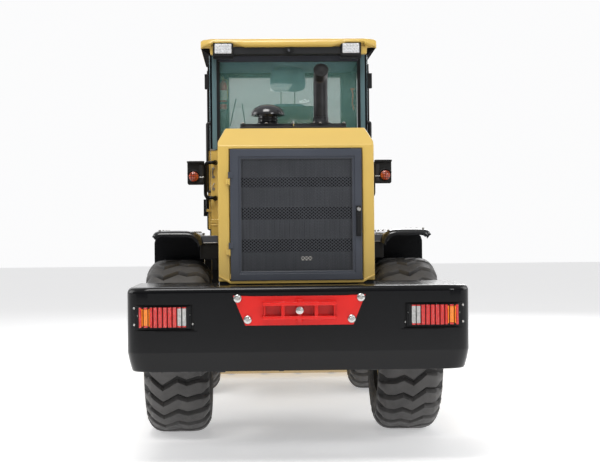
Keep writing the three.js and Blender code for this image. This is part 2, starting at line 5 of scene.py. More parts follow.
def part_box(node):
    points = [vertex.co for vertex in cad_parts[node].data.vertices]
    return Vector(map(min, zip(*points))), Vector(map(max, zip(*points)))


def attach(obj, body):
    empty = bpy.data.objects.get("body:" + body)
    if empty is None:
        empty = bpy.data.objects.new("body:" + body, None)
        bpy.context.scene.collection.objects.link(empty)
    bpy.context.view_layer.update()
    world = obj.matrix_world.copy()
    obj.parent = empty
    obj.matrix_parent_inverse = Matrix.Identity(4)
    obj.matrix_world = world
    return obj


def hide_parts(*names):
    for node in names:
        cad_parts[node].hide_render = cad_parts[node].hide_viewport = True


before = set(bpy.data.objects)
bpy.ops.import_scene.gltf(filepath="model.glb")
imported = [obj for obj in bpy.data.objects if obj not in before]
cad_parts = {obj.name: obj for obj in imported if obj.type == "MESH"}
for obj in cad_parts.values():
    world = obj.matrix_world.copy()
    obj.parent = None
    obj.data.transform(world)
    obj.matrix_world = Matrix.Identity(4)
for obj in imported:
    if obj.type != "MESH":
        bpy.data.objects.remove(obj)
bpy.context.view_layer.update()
random.seed(7)
# lengths below are base millimetres; S turns them into metres of the frame
_lo, _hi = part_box("tyre_rear_right")
S = (_hi.z - _lo.z) / 1324.0
SH = 87.5


def W(p):
    return Vector((p[0] * S, (p[1] - SH) * S, p[2] * S))


# ------------------------------------------------------------------ materials
def _n(nt, kind, **kw):
    n = nt.nodes.new(kind)
    for k, v in kw.items():
        setattr(n, k, v)
    return n


def mat(name, base, rough=0.4, metal=0.0, coat=0.0, coat_rough=0.08, var=0.12, vscale=2.2, bump=0.06, bscale=220.0,
        rvar=0.12, dust=0.0, dust_col=(0.30, 0.27, 0.22), dust_z=0.0, dust_h=0.8, spec=0.5, edge=0.0, edge_wear_and_highlight_col=(0.5, 0.48, 0.45),
        speckle=0.0, detail=4.0, emit=None, stretch=None):
    m = bpy.data.materials.new(name)
    m.use_nodes = True
    nt = m.node_tree
    b = nt.nodes["Principled BSDF"]
    tc = _n(nt, "ShaderNodeTexCoord")
    src = tc.outputs["Object"]
    if stretch:
        mp = _n(nt, "ShaderNodeMapping")
        mp.inputs["Scale"].default_value = stretch
        nt.links.new(src, mp.inputs["Vector"])
        src = mp.outputs["Vector"]
    n1 = _n(nt, "ShaderNodeTexNoise")
    n1.inputs["Scale"].default_value = vscale
    n1.inputs["Detail"].default_value = 6
    n1.inputs["Roughness"].default_value = 0.6
    nt.links.new(src, n1.inputs["Vector"])
    r1 = _n(nt, "ShaderNodeValToRGB")
    r1.color_ramp.elements[0].position = 0.3
    r1.color_ramp.elements[1].position = 0.72
    r1.color_ramp.elements[0].color = (*[c * (1 - var) for c in base], 1)
    r1.color_ramp.elements[1].color = (*[min(1, c * (1 + var)) for c in base], 1)
    nt.links.new(n1.outputs["Fac"], r1.inputs["Fac"])
    col = r1.outputs["Color"]
    if speckle > 0:
        ns = _n(nt, "ShaderNodeTexNoise")
        ns.inputs["Scale"].default_value = 160
        ns.inputs["Detail"].default_value = 2
        nt.links.new(src, ns.inputs["Vector"])
        rs = _n(nt, "ShaderNodeMapRange")
        rs.inputs["From Min"].default_value = 0.58
        rs.inputs["From Max"].default_value = 0.72
        rs.inputs["To Max"].default_value = speckle
        nt.links.new(ns.outputs["Fac"], rs.inputs["Value"])
        mx = _n(nt, "ShaderNodeMix", data_type="RGBA")
        nt.links.new(rs.outputs["Result"], mx.inputs["Factor"])
        nt.links.new(col, mx.inputs[6])
        mx.inputs[7].default_value = (*[min(1, c * 2.2 + 0.02) for c in base], 1)
        col = mx.outputs[2]
    # Convex edges, found by pointiness, are mixed toward the edge colour: worn paint on the front yellow parts, a
    # painted highlight on the tread lugs' edges.
    if edge > 0:
        g = _n(nt, "ShaderNodeNewGeometry")
        re = _n(nt, "ShaderNodeMapRange")
        re.inputs["From Min"].default_value = 0.52
        re.inputs["From Max"].default_value = 0.62
        re.inputs["To Max"].default_value = edge
        nt.links.new(g.outputs["Pointiness"], re.inputs["Value"])
        mx = _n(nt, "ShaderNodeMix", data_type="RGBA")
        nt.links.new(re.outputs["Result"], mx.inputs["Factor"])
        nt.links.new(col, mx.inputs[6])
        mx.inputs[7].default_value = (*edge_wear_and_highlight_col, 1)
        col = mx.outputs[2]
    if dust > 0:
        sx = _n(nt, "ShaderNodeSeparateXYZ")
        nt.links.new(tc.outputs["Object"], sx.inputs["Vector"])
        rz = _n(nt, "ShaderNodeMapRange")
        rz.inputs["From Min"].default_value = dust_z + dust_h
        rz.inputs["From Max"].default_value = dust_z
        nt.links.new(sx.outputs["Z"], rz.inputs["Value"])
        nd = _n(nt, "ShaderNodeTexNoise")
        nd.inputs["Scale"].default_value = 9
        nd.inputs["Detail"].default_value = 8
        nt.links.new(tc.outputs["Object"], nd.inputs["Vector"])
        mu = _n(nt, "ShaderNodeMath", operation="MULTIPLY")
        nt.links.new(rz.outputs["Result"], mu.inputs[0])
        nt.links.new(nd.outputs["Fac"], mu.inputs[1])
        m2 = _n(nt, "ShaderNodeMath", operation="MULTIPLY")
        nt.links.new(mu.outputs[0], m2.inputs[0])
        m2.inputs[1].default_value = dust * 1.6
        mx = _n(nt, "ShaderNodeMix", data_type="RGBA")
        mx.clamp_factor = True
        nt.links.new(m2.outputs[0], mx.inputs["Factor"])
        nt.links.new(col, mx.inputs[6])
        mx.inputs[7].default_value = (*dust_col, 1)
        col = mx.outputs[2]
    nt.links.new(col, b.inputs["Base Color"])
    n2 = _n(nt, "ShaderNodeTexNoise")
    n2.inputs["Scale"].default_value = vscale * 5
    n2.inputs["Detail"].default_value = 5
    nt.links.new(src, n2.inputs["Vector"])
    rr = _n(nt, "ShaderNodeMapRange")
    rr.inputs["From Min"].default_value = 0.3
    rr.inputs["From Max"].default_value = 0.7
    rr.inputs["To Min"].default_value = max(0.02, rough * (1 - rvar))
    rr.inputs["To Max"].default_value = min(1, rough * (1 + rvar))
    nt.links.new(n2.outputs["Fac"], rr.inputs["Value"])
    nt.links.new(rr.outputs["Result"], b.inputs["Roughness"])
    n3 = _n(nt, "ShaderNodeTexNoise")
    n3.inputs["Scale"].default_value = bscale
    n3.inputs["Detail"].default_value = detail
    nt.links.new(src, n3.inputs["Vector"])
    bp = _n(nt, "ShaderNodeBump")
    bp.inputs["Strength"].default_value = bump
    bp.inputs["Distance"].default_value = 0.002
    nt.links.new(n3.outputs["Fac"], bp.inputs["Height"])
    nt.links.new(bp.outputs["Normal"], b.inputs["Normal"])
    b.inputs["Metallic"].default_value = metal
    b.inputs["Coat Weight"].default_value = coat
    b.inputs["Coat Roughness"].default_value = coat_rough
    b.inputs["Specular IOR Level"].default_value = spec
    if emit:
        b.inputs["Emission Color"].default_value = (*emit[0], 1)
        b.inputs["Emission Strength"].default_value = emit[1]
    return m


def glass(name, base, alpha, rough=0.04):
    m = mat(name, base, rough, coat=0.2, coat_rough=0.02, var=0.10, vscale=1.4, bump=0.004, bscale=3, rvar=0.01, spec=0.35, detail=1)
    b = m.node_tree.nodes["Principled BSDF"]
    b.inputs["Alpha"].default_value = alpha
    for k in list(b.inputs["Normal"].links):
        m.node_tree.links.remove(k)
    return m


def lens(name, base, rough=0.12, emit=0.25):
    m = mat(name, base, rough, coat=1.0, coat_rough=0.03, var=0.25, vscale=60, bump=0.3, bscale=300, rvar=0.3, spec=0.7,
            emit=(base, emit))
    nt = m.node_tree
    b = nt.nodes["Principled BSDF"]
    tc = _n(nt, "ShaderNodeTexCoord")
    v = _n(nt, "ShaderNodeTexVoronoi")
    v.inputs["Scale"].default_value = 130
    nt.links.new(tc.outputs["Object"], v.inputs["Vector"])
    bp = _n(nt, "ShaderNodeBump")
    bp.inputs["Strength"].default_value = 0.55
    bp.inputs["Distance"].default_value = 0.003
    nt.links.new(v.outputs["Distance"], bp.inputs["Height"])
    nt.links.new(bp.outputs["Normal"], b.inputs["Normal"])
    return m


YELLOW = mat("yellow_paint", (0.70, 0.475, 0.112), 0.36, coat=0.45, coat_rough=0.10, var=0.045, vscale=1.3, bump=0.05, bscale=260, speckle=0.03)
YELLOW_F = mat("yellow_paint_front", (0.68, 0.46, 0.098), 0.42, coat=0.35, coat_rough=0.16, var=0.07, vscale=1.6, bump=0.10, bscale=200,
               dust=0.35, dust_z=0.0, dust_h=1.3, edge=0.25, speckle=0.05)
BLACK = mat("black_gloss_paint", (0.0022, 0.0024, 0.0031), 0.24, coat=0.12, coat_rough=0.05, var=0.25, vscale=1.5, bump=0.04, bscale=180, speckle=0.04, spec=0.14)
SATIN = mat("black_satin_paint", (0.0085, 0.0092, 0.0112), 0.42, coat=0.05, coat_rough=0.2, var=0.2, vscale=2.5, bump=0.08, bscale=260, speckle=0.10)
GRILLE = mat("grille_grey_paint", (0.050, 0.057, 0.075), 0.34, coat=0.25, coat_rough=0.15, var=0.12, vscale=2.0, bump=0.07, bscale=260, speckle=0.06)
MESH = mat("mesh_paint", (0.060, 0.064, 0.075), 0.36, var=0.15, vscale=9, bump=0.08, bscale=300)
PLASTIC = mat("moulded_plastic", (0.0065, 0.0068, 0.0078), 0.50, var=0.2, vscale=4, bump=0.30, bscale=420, spec=0.3)
# Carcass and lugs are one rubber: the carcass is painted near-black as painted shade in the grooves, and the lugs are
# painted lighter as painted light on their tops; the lighter dust towards the bottom is real dust.
RUBBER_PAINTED_SHADE = mat("tyre_rubber", (0.011, 0.0108, 0.0108), 0.62, var=0.35, vscale=5, bump=0.35, bscale=90, rvar=0.2, dust=0.10,
             dust_col=(0.12, 0.11, 0.10), dust_z=0.0, dust_h=1.9, speckle=0.10, spec=0.42)
# The lugs' lighter bluish edge colour is a painted highlight on their edges and shoulders.
LUG_PAINTED_LIGHT = mat("tread_rubber_painted_light", (0.074, 0.071, 0.069), 0.50, var=0.35, vscale=6, bump=0.45, bscale=70, rvar=0.25, dust=0.12,
          dust_col=(0.14, 0.13, 0.115), dust_z=0.0, dust_h=1.9, speckle=0.12, spec=0.5, edge=0.35, edge_wear_and_highlight_col=(0.085, 0.085, 0.09))
CWM = mat("counterweight_paint", (0.0024, 0.0026, 0.0034), 0.20, coat=0.22, coat_rough=0.06, var=0.25, vscale=1.5, bump=0.04, bscale=180, speckle=0.04, spec=0.20)
CAST = mat("cast_iron_paint", (0.030, 0.031, 0.034), 0.55, metal=0.15, var=0.25, vscale=6, bump=0.5, bscale=60, dust=0.25, dust_h=1.2, speckle=0.08)
STEEL = mat("bright_steel", (0.62, 0.62, 0.60), 0.30, metal=1.0, var=0.08, vscale=12, bump=0.12, bscale=300, rvar=0.3)
CHROME = mat("rod_chrome", (0.80, 0.80, 0.80), 0.10, metal=1.0, var=0.03, vscale=8, bump=0.02, bscale=500, rvar=0.3, stretch=(1, 6, 6))
WORN = mat("worn_steel", (0.30, 0.285, 0.27), 0.42, metal=0.8, var=0.30, vscale=7, bump=0.30, bscale=120, rvar=0.35, dust=0.2, dust_h=0.8)
RED = mat("red_paint", (0.74, 0.006, 0.002), 0.34, coat=0.15, coat_rough=0.10, var=0.08, vscale=5, bump=0.10, bscale=120, speckle=0.02)
EXH = mat("exhaust_heat_paint", (0.020, 0.0205, 0.023), 0.42, metal=0.35, var=0.3, vscale=7, bump=0.20, bscale=160, rvar=0.3)
GLASS = glass("tinted_glass", (0.17, 0.35, 0.31), 0.33)
GLASS_C = glass("corner_glass", (0.13, 0.21, 0.23), 0.86)
FRIT = mat("window_frit", (0.042, 0.046, 0.060), 0.24, coat=0.3, var=0.1, vscale=4, bump=0.02, bscale=200)
SEATM = mat("seat_cloth", (0.20, 0.33, 0.42), 0.85, var=0.25, vscale=10, bump=0.7, bscale=520, spec=0.25)
SEATB = mat("seat_vinyl", (0.030, 0.085, 0.120), 0.48, var=0.3, vscale=7, bump=0.35, bscale=300, spec=0.4)
LRED = lens("lens_red", (0.66, 0.008, 0.005), emit=0.06)
MATT = mat("matt_trim", (0.0045, 0.0046, 0.005), 0.92, var=0.25, vscale=5, bump=0.3, bscale=300, spec=0.04)
PRE = mat("precleaner_gloss", (0.016, 0.0165, 0.020), 0.22, coat=0.6, coat_rough=0.06, var=0.2, vscale=5, bump=0.05, bscale=160)
LAMB = lens("lens_amber", (0.45, 0.055, 0.008), emit=0.06)
LORG = lens("lens_orange", (0.85, 0.24, 0.010), emit=0.22)
FEND = mat("fender_gloss", (0.006, 0.0065, 0.008), 0.20, coat=0.6, coat_rough=0.06, var=0.2, vscale=2, bump=0.05, bscale=160, speckle=0.05, spec=0.45)
LCLR = lens("lens_clear", (0.52, 0.52, 0.51), emit=0.04)
LED = lens("led_diffuser", (0.60, 0.61, 0.63), 0.35, emit=0.12)
RFIN = mat("radiator_fin", (0.085, 0.088, 0.096), 0.55, metal=0.5, var=0.2, vscale=5, bump=0.9, bscale=40, stretch=(14, 1, 0.4))
# Near-black stand-in for shade: painted shade in the radiator bay, behind the cooler slats and down the exhaust bore.
SHADE_BLACK = mat("painted_shade_black", (0.0015, 0.0015, 0.002), 0.8, var=0.3, vscale=4, bump=0.1, bscale=90)
CARPET = mat("floor_mat_rubber", (0.020, 0.020, 0.021), 0.8, var=0.3, vscale=8, bump=0.5, bscale=150)
XRED = mat("extinguisher_red", (0.62, 0.022, 0.014), 0.25, coat=0.6, var=0.08, vscale=12, bump=0.03, bscale=150)
LABEL = mat("blank_label", (0.66, 0.64, 0.58), 0.5, var=0.12, vscale=14, bump=0.05, bscale=200)
ORANGE = mat("orange_plastic", (0.85, 0.14, 0.03), 0.45, var=0.1, vscale=14, bump=0.1, bscale=220)
HOSE = mat("hydraulic_hose_rubber", (0.012, 0.012, 0.013), 0.55, var=0.2, vscale=30, bump=0.5, bscale=260)


# ------------------------------------------------------------------ geometry
def arc(cx, cy, r, a0, a1, n):
    return [(cx + r * math.cos(math.radians(a0 + (a1 - a0) * i / n)), cy + r * math.sin(math.radians(a0 + (a1 - a0) * i / n))) for i in range(n + 1)]


def frames(pts):
    ps = [Vector(p) for p in pts]
    ts = []
    for i in range(len(ps)):
        a = ps[max(0, i - 1)]
        b = ps[min(len(ps) - 1, i + 1)]
        ts.append((b - a).normalized())
    up = Vector((0, 0, 1)) if abs(ts[0].z) < 0.9 else Vector((1, 0, 0))
    n = (up - ts[0] * up.dot(ts[0])).normalized()
    out = []
    for p, t in zip(ps, ts):
        n = (n - t * n.dot(t)).normalized()
        out.append((p, t, n, t.cross(n)))
    return out


def fillet(pts, r, n=5):
    out = [Vector(pts[0])]
    for i in range(1, len(pts) - 1):
        a, b, c = Vector(pts[i - 1]), Vector(pts[i]), Vector(pts[i + 1])
        u, v = (a - b), (c - b)
        k = min(r, u.length * 0.48, v.length * 0.48)
        p, q = b + u.normalized() * k, b + v.normalized() * k
        for j in range(n + 1):
            t = j / n
            out.append(p * (1 - t) ** 2 + b * 2 * t * (1 - t) + q * t * t)
    out.append(Vector(pts[-1]))
    return [tuple(p) for p in out]


class Geo:
    def __init__(self):
        self.v, self.f, self.m = [], [], []

    def add(self, vs, fs, mi=0):
        o = len(self.v)
        self.v += [tuple(p) for p in vs]
        for f in fs:
            self.f.append(tuple(i + o for i in f))
            self.m.append(mi)
        return self

    def box(self, x0, x1, y0, y1, z0, z1, mi=0):
        vs = [(x, y, z) for z in (z0, z1) for y in (y0, y1) for x in (x0, x1)]
        return self.add(vs, [(0, 2, 3, 1), (4, 5, 7, 6), (0, 1, 5, 4), (2, 6, 7, 3), (0, 4, 6, 2), (1, 3, 7, 5)], mi)

    def prism(self, pts, h0, h1, ax, mi=0):
        put = {"x": lambda p, h: (h, p[0], p[1]), "y": lambda p, h: (p[0], h, p[1]), "z": lambda p, h: (p[0], p[1], h)}[ax]
        n = len(pts)
        vs = [put(p, h0) for p in pts] + [put(p, h1) for p in pts]
        fs = [tuple(range(n - 1, -1, -1)), tuple(range(n, 2 * n))] + [(i, (i + 1) % n, n + (i + 1) % n, n + i) for i in range(n)]
        return self.add(vs, fs, mi)

    def cyl(self, a, b, r, seg=24, mi=0, r2=None):
        a, b = Vector(a), Vector(b)
        return self.tube([a, b], r, seg, mi, r_end=r if r2 is None else r2)

    def tube(self, pts, r, seg=12, mi=0, r_end=None, closed=False):
        fr = frames(pts)
        vs, fs = [], []
        n = len(fr)
        for i, (p, t, u, w) in enumerate(fr):
            rr = r if r_end is None else r + (r_end - r) * i / (n - 1)
            for k in range(seg):
                an = 2 * math.pi * k / seg
                vs.append(p + (u * math.cos(an) + w * math.sin(an)) * rr)
        for i in range(n - 1):
            for k in range(seg):
                a, b = i * seg + k, i * seg + (k + 1) % seg
                fs.append((a, b, b + seg, a + seg))
        if not closed:
            fs.append(tuple(range(seg - 1, -1, -1)))
            fs.append(tuple((n - 1) * seg + k for k in range(seg)))
        return self.add(vs, fs, mi)

    def lathe(self, c, axis, prof, seg=32, mi=0, loop=False):
        c, t = Vector(c), Vector(axis).normalized()
        up = Vector((0, 0, 1)) if abs(t.z) < 0.9 else Vector((1, 0, 0))
        u = (up - t * up.dot(t)).normalized()
        w = t.cross(u)
        vs, fs = [], []
        rows = []
        for r, h in prof:
            if r < 1e-6:
                rows.append([len(vs)] * seg)
                vs.append(c + t * h)
            else:
                rows.append(list(range(len(vs), len(vs) + seg)))
                for k in range(seg):
                    an = 2 * math.pi * k / seg
                    vs.append(c + t * h + (u * math.cos(an) + w * math.sin(an)) * r)
        pairs = list(zip(rows, rows[1:])) + ([(rows[-1], rows[0])] if loop else [])
        for a, b in pairs:
            for k in range(seg):
                q = [a[k], a[(k + 1) % seg], b[(k + 1) % seg], b[k]]
                d = []
                for i in q:
                    if i not in d:
                        d.append(i)
                if len(d) > 2:
                    fs.append(tuple(d))
        if not loop:
            for row in (rows[0], rows[-1]):
                if row[0] != row[1]:
                    fs.append(tuple(row))
        return self.add(vs, fs, mi)

    def bolt(self, p, d, r=14, h=10, mi=0, washer=True):
        p, d = Vector(p), Vector(d).normalized()
        if washer:
            self.lathe(p, d, [(0, 0), (r * 1.5, 0), (r * 1.5, h * 0.25), (r * 1.38, h * 0.34), (0, h * 0.34)], 20, mi)
        self.lathe(p, d, [(0, h * 0.3), (r, h * 0.3), (r, h * 0.9), (r * 0.88, h * 1.08), (0, h * 1.1)], 6, mi)
        return self

    def disc_bolt(self, p, d, r=20, h=10, mi=0):
        self.lathe(p, d, [(0, 0), (r, 0), (r, h * 0.55), (r * 0.9, h * 0.8), (r * 0.62, h), (0, h)], 24, mi)
        self.lathe(Vector(p) + Vector(d) * h * 0.9, d, [(0, 0), (r * 0.55, 0), (r * 0.55, h * 0.4), (r * 0.48, h * 0.5), (0, h * 0.5)], 6, mi)
        return self

    def mirror(self):
        o = len(self.v)
        self.v += [(-x, y, z) for x, y, z in self.v]
        nf = len(self.f)
        for i in range(nf):
            self.f.append(tuple(k + o for k in reversed(self.f[i])))
            self.m.append(self.m[i])
        return self

    def flip(self):
        self.v = [(-x, y, z) for x, y, z in self.v]
        self.f = [tuple(reversed(f)) for f in self.f]
        return self

    def make(self, name, body, mats, bevel=0.0, seg=2, angle=30, sub=0, wn=True, replaces=(), raw=False):
        me = bpy.data.meshes.new(name)
        me.from_pydata([W(p) for p in self.v], [], self.f)
        for mm in mats:
            me.materials.append(mm)
        me.polygons.foreach_set("material_index", self.m)
        bm = bmesh.new()
        bm.from_mesh(me)
        if not raw:
            bmesh.ops.recalc_face_normals(bm, faces=bm.faces[:])
        bm.to_mesh(me)
        bm.free()
        for p in me.polygons:
            p.use_smooth = True
        if not bevel:
            me.set_sharp_from_angle(angle=math.radians(38))
        ob = bpy.data.objects.new(name, me)
        bpy.context.scene.collection.objects.link(ob)
        finish_mods(ob, bevel, seg, angle, sub, wn)
        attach(ob, body)
        if replaces:
            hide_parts(*replaces)
        return ob


def finish_mods(ob, bevel, seg=2, angle=30, sub=0, wn=True):
    if bevel:
        b = ob.modifiers.new("edge", "BEVEL")
        b.width = bevel * S
        b.segments = seg
        b.limit_method = "ANGLE"
        b.angle_limit = math.radians(angle)
        b.harden_normals = False
        b.use_clamp_overlap = True
    if sub:
        s = ob.modifiers.new("sub", "SUBSURF")
        s.levels = s.render_levels = sub
    if wn and bevel:
        w = ob.modifiers.new("flat", "WEIGHTED_NORMAL")
        w.keep_sharp = True


_gn = None


def shade_group():
    global _gn
    if _gn:
        return _gn
    g = bpy.data.node_groups.new("shade_smooth", "GeometryNodeTree")
    g.interface.new_socket("Geometry", in_out="INPUT", socket_type="NodeSocketGeometry")
    g.interface.new_socket("Geometry", in_out="OUTPUT", socket_type="NodeSocketGeometry")
    i = g.nodes.new("NodeGroupInput")
    s = g.nodes.new("GeometryNodeSetShadeSmooth")
    o = g.nodes.new("NodeGroupOutput")
    g.links.new(i.outputs[0], s.inputs[0])
    g.links.new(s.outputs[0], o.inputs[0])
    _gn = g
    return g


def dress(node, material, bevel=4.0, seg=2, angle=32):
    """Material and softened edges on a CAD node: its own mesh stays as it is."""
    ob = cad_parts[node]
    for sl in ob.material_slots:
        sl.material = material
    w = ob.modifiers.new("weld", "WELD")
    w.merge_threshold = 0.0002
    if bevel:
        b = ob.modifiers.new("edge", "BEVEL")
        b.width = bevel * S
        b.segments = seg
        b.limit_method = "ANGLE"
        b.angle_limit = math.radians(angle)
    g = ob.modifiers.new("smooth", "NODES")
    g.node_group = shade_group()
    if bevel:
        k = ob.modifiers.new("flat", "WEIGHTED_NORMAL")
        k.keep_sharp = False
    return ob


# ------------------------------------------------------------------ camera, light, floor
FPX = 1417.2


def make_camera():
    cam = bpy.data.cameras.new("camera")
    ob = bpy.data.objects.new("camera", cam)
    bpy.context.scene.collection.objects.link(ob)
    cam.sensor_width = 36.0
    cam.lens = FPX * 36.0 / 600.0
    cam.clip_end = 200
    yaw, pitch, roll = math.radians(1.944), math.radians(-0.031), math.radians(-0.536)
    fw = Vector((math.sin(yaw) * math.cos(pitch), math.cos(yaw) * math.cos(pitch), -math.sin(pitch)))
    rt = fw.cross(Vector((0, 0, 1))).normalized()
    up = rt.cross(fw)
    r2 = rt * math.cos(roll) + up * math.sin(roll)
    u2 = -rt * math.sin(roll) + up * math.cos(roll)
    m = Matrix((r2, u2, -fw)).transposed().to_4x4()
    m.translation = Vector((-0.3424, -14.1548, 1.7326))
    ob.matrix_world = m
    bpy.context.scene.camera = ob


make_camera()
bpy.context.scene.view_settings.view_transform = "Standard"
bpy.context.scene.view_settings.look = "None"


def area(name, loc, to, size, power, col=(1, 1, 1), sy=None):
    l = bpy.data.lights.new(name, "AREA")
    l.energy = power
    l.size = size
    if sy:
        l.shape = "RECTANGLE"
        l.size_y = sy
    l.color = col
    o = bpy.data.objects.new(name, l)
    bpy.context.scene.collection.objects.link(o)
    o.location = loc
    o.rotation_euler = (Vector(to) - Vector(loc)).to_track_quat("-Z", "Y").to_euler()
    return o


area("key_top", (-1.5, -6.5, 10.0), (0, -1.8, 1.2), 4.5, 570, (1.0, 0.99, 0.97))
area("rear_fill", (6.5, -14.0, 6.2), (0, -2.5, 1.5), 4.0, 270, (0.97, 0.985, 1.0), sy=2.0)
area("front_fill", (3.0, 12.0, 7.5), (0, 1.5, 1.0), 7.0, 520)
area("side_left", (-10, 0, 5.0), (0, 0, 1.2), 6.0, 260)
area("side_right", (10, 0.5, 5.0), (0, 0, 1.2), 6.0, 260)

wd = bpy.data.worlds.new("studio")
bpy.context.scene.world = wd
wd.use_nodes = True
nt = wd.node_tree
bg = nt.nodes["Background"]
tcw = nt.nodes.new("ShaderNodeTexCoord")
sxw = nt.nodes.new("ShaderNodeSeparateXYZ")
nt.links.new(tcw.outputs["Generated"], sxw.inputs[0])
rw = nt.nodes.new("ShaderNodeValToRGB")
rw.color_ramp.elements[0].position = 0.50
rw.color_ramp.elements[0].color = (0.16, 0.16, 0.17, 1)
rw.color_ramp.elements[1].position = 0.86
rw.color_ramp.elements[1].color = (1.0, 1.0, 1.0, 1)
mz = nt.nodes.new("ShaderNodeMapRange")
mz.inputs["From Min"].default_value = -1
nt.links.new(sxw.outputs["Z"], mz.inputs["Value"])
nt.links.new(mz.outputs["Result"], rw.inputs["Fac"])
nt.links.new(rw.outputs["Color"], bg.inputs["Color"])
bg.inputs["Strength"].default_value = 0.46
bg2 = nt.nodes.new("ShaderNodeBackground")
bg2.inputs["Color"].default_value = (0.97, 0.97, 0.975, 1)
bg2.inputs["Strength"].default_value = 1.0
lp = nt.nodes.new("ShaderNodeMapRange")
lp.inputs["From Min"].default_value = 0.70
lp.inputs["From Max"].default_value = 0.86
nt.links.new(sxw.outputs["Y"], lp.inputs["Value"])
mxw = nt.nodes.new("ShaderNodeMixShader")
nt.links.new(lp.outputs["Result"], mxw.inputs[0])
nt.links.new(bg.outputs[0], mxw.inputs[1])
nt.links.new(bg2.outputs[0], mxw.inputs[2])
nt.links.new(mxw.outputs[0], nt.nodes["World Output"].inputs["Surface"])


def backdrop():
    me = bpy.data.meshes.new("floor")
    g = 60.0
    prof = [(-g, 0.0), (14.0, 0.0)]
    n = 14
    for i in range(1, n + 1):
        a = math.pi / 2 * i / n
        prof.append((14.0 + 8 * math.sin(a), 8 - 8 * math.cos(a)))
    prof.append((22.0, 30.0))
    vs, fs = [], []
    vs = [(-g, -g, 0), (g, -g, 0), (g, g, 0), (-g, g, 0)]
    fs = [(0, 1, 2, 3)]
    me.from_pydata(vs, [], fs)
    ob = bpy.data.objects.new("floor", me)
    bpy.context.scene.collection.objects.link(ob)
    m = mat("floor_pale", (0.86, 0.86, 0.86), 0.9, var=0.012, vscale=0.6, bump=0.01, bscale=30, spec=0.1, emit=((0.97, 0.97, 0.98), 0.42))
    me.materials.append(m)


backdrop()

# ------------------------------------------------------------------ shared dimensions (base mm)
AX_F, AX_R, AZ = 1425, -1425, 662
TR, HT = 662, 868
CW_Y = -3225
HOOD_R, HOOD_B, HOOD_T, HOOD_W = -2830, 1200, 2248, 530
CAB_W, CAB_R, CAB_F = 625, -1150, 100
A_, G_, P_ = (640, 1900), (2400, 290), (1785, 1202)
R2D = math.pi / 180


# ------------------------------------------------------------------ wheels
def top_r(u):
    """Outer radius of a lug at distance u from the tyre's middle plane."""
    return 662 - 100 * (abs(u) / 242.0) ** 6


def base_r(u):
    return 628 - 80 * (abs(u) / 242.0) ** 5


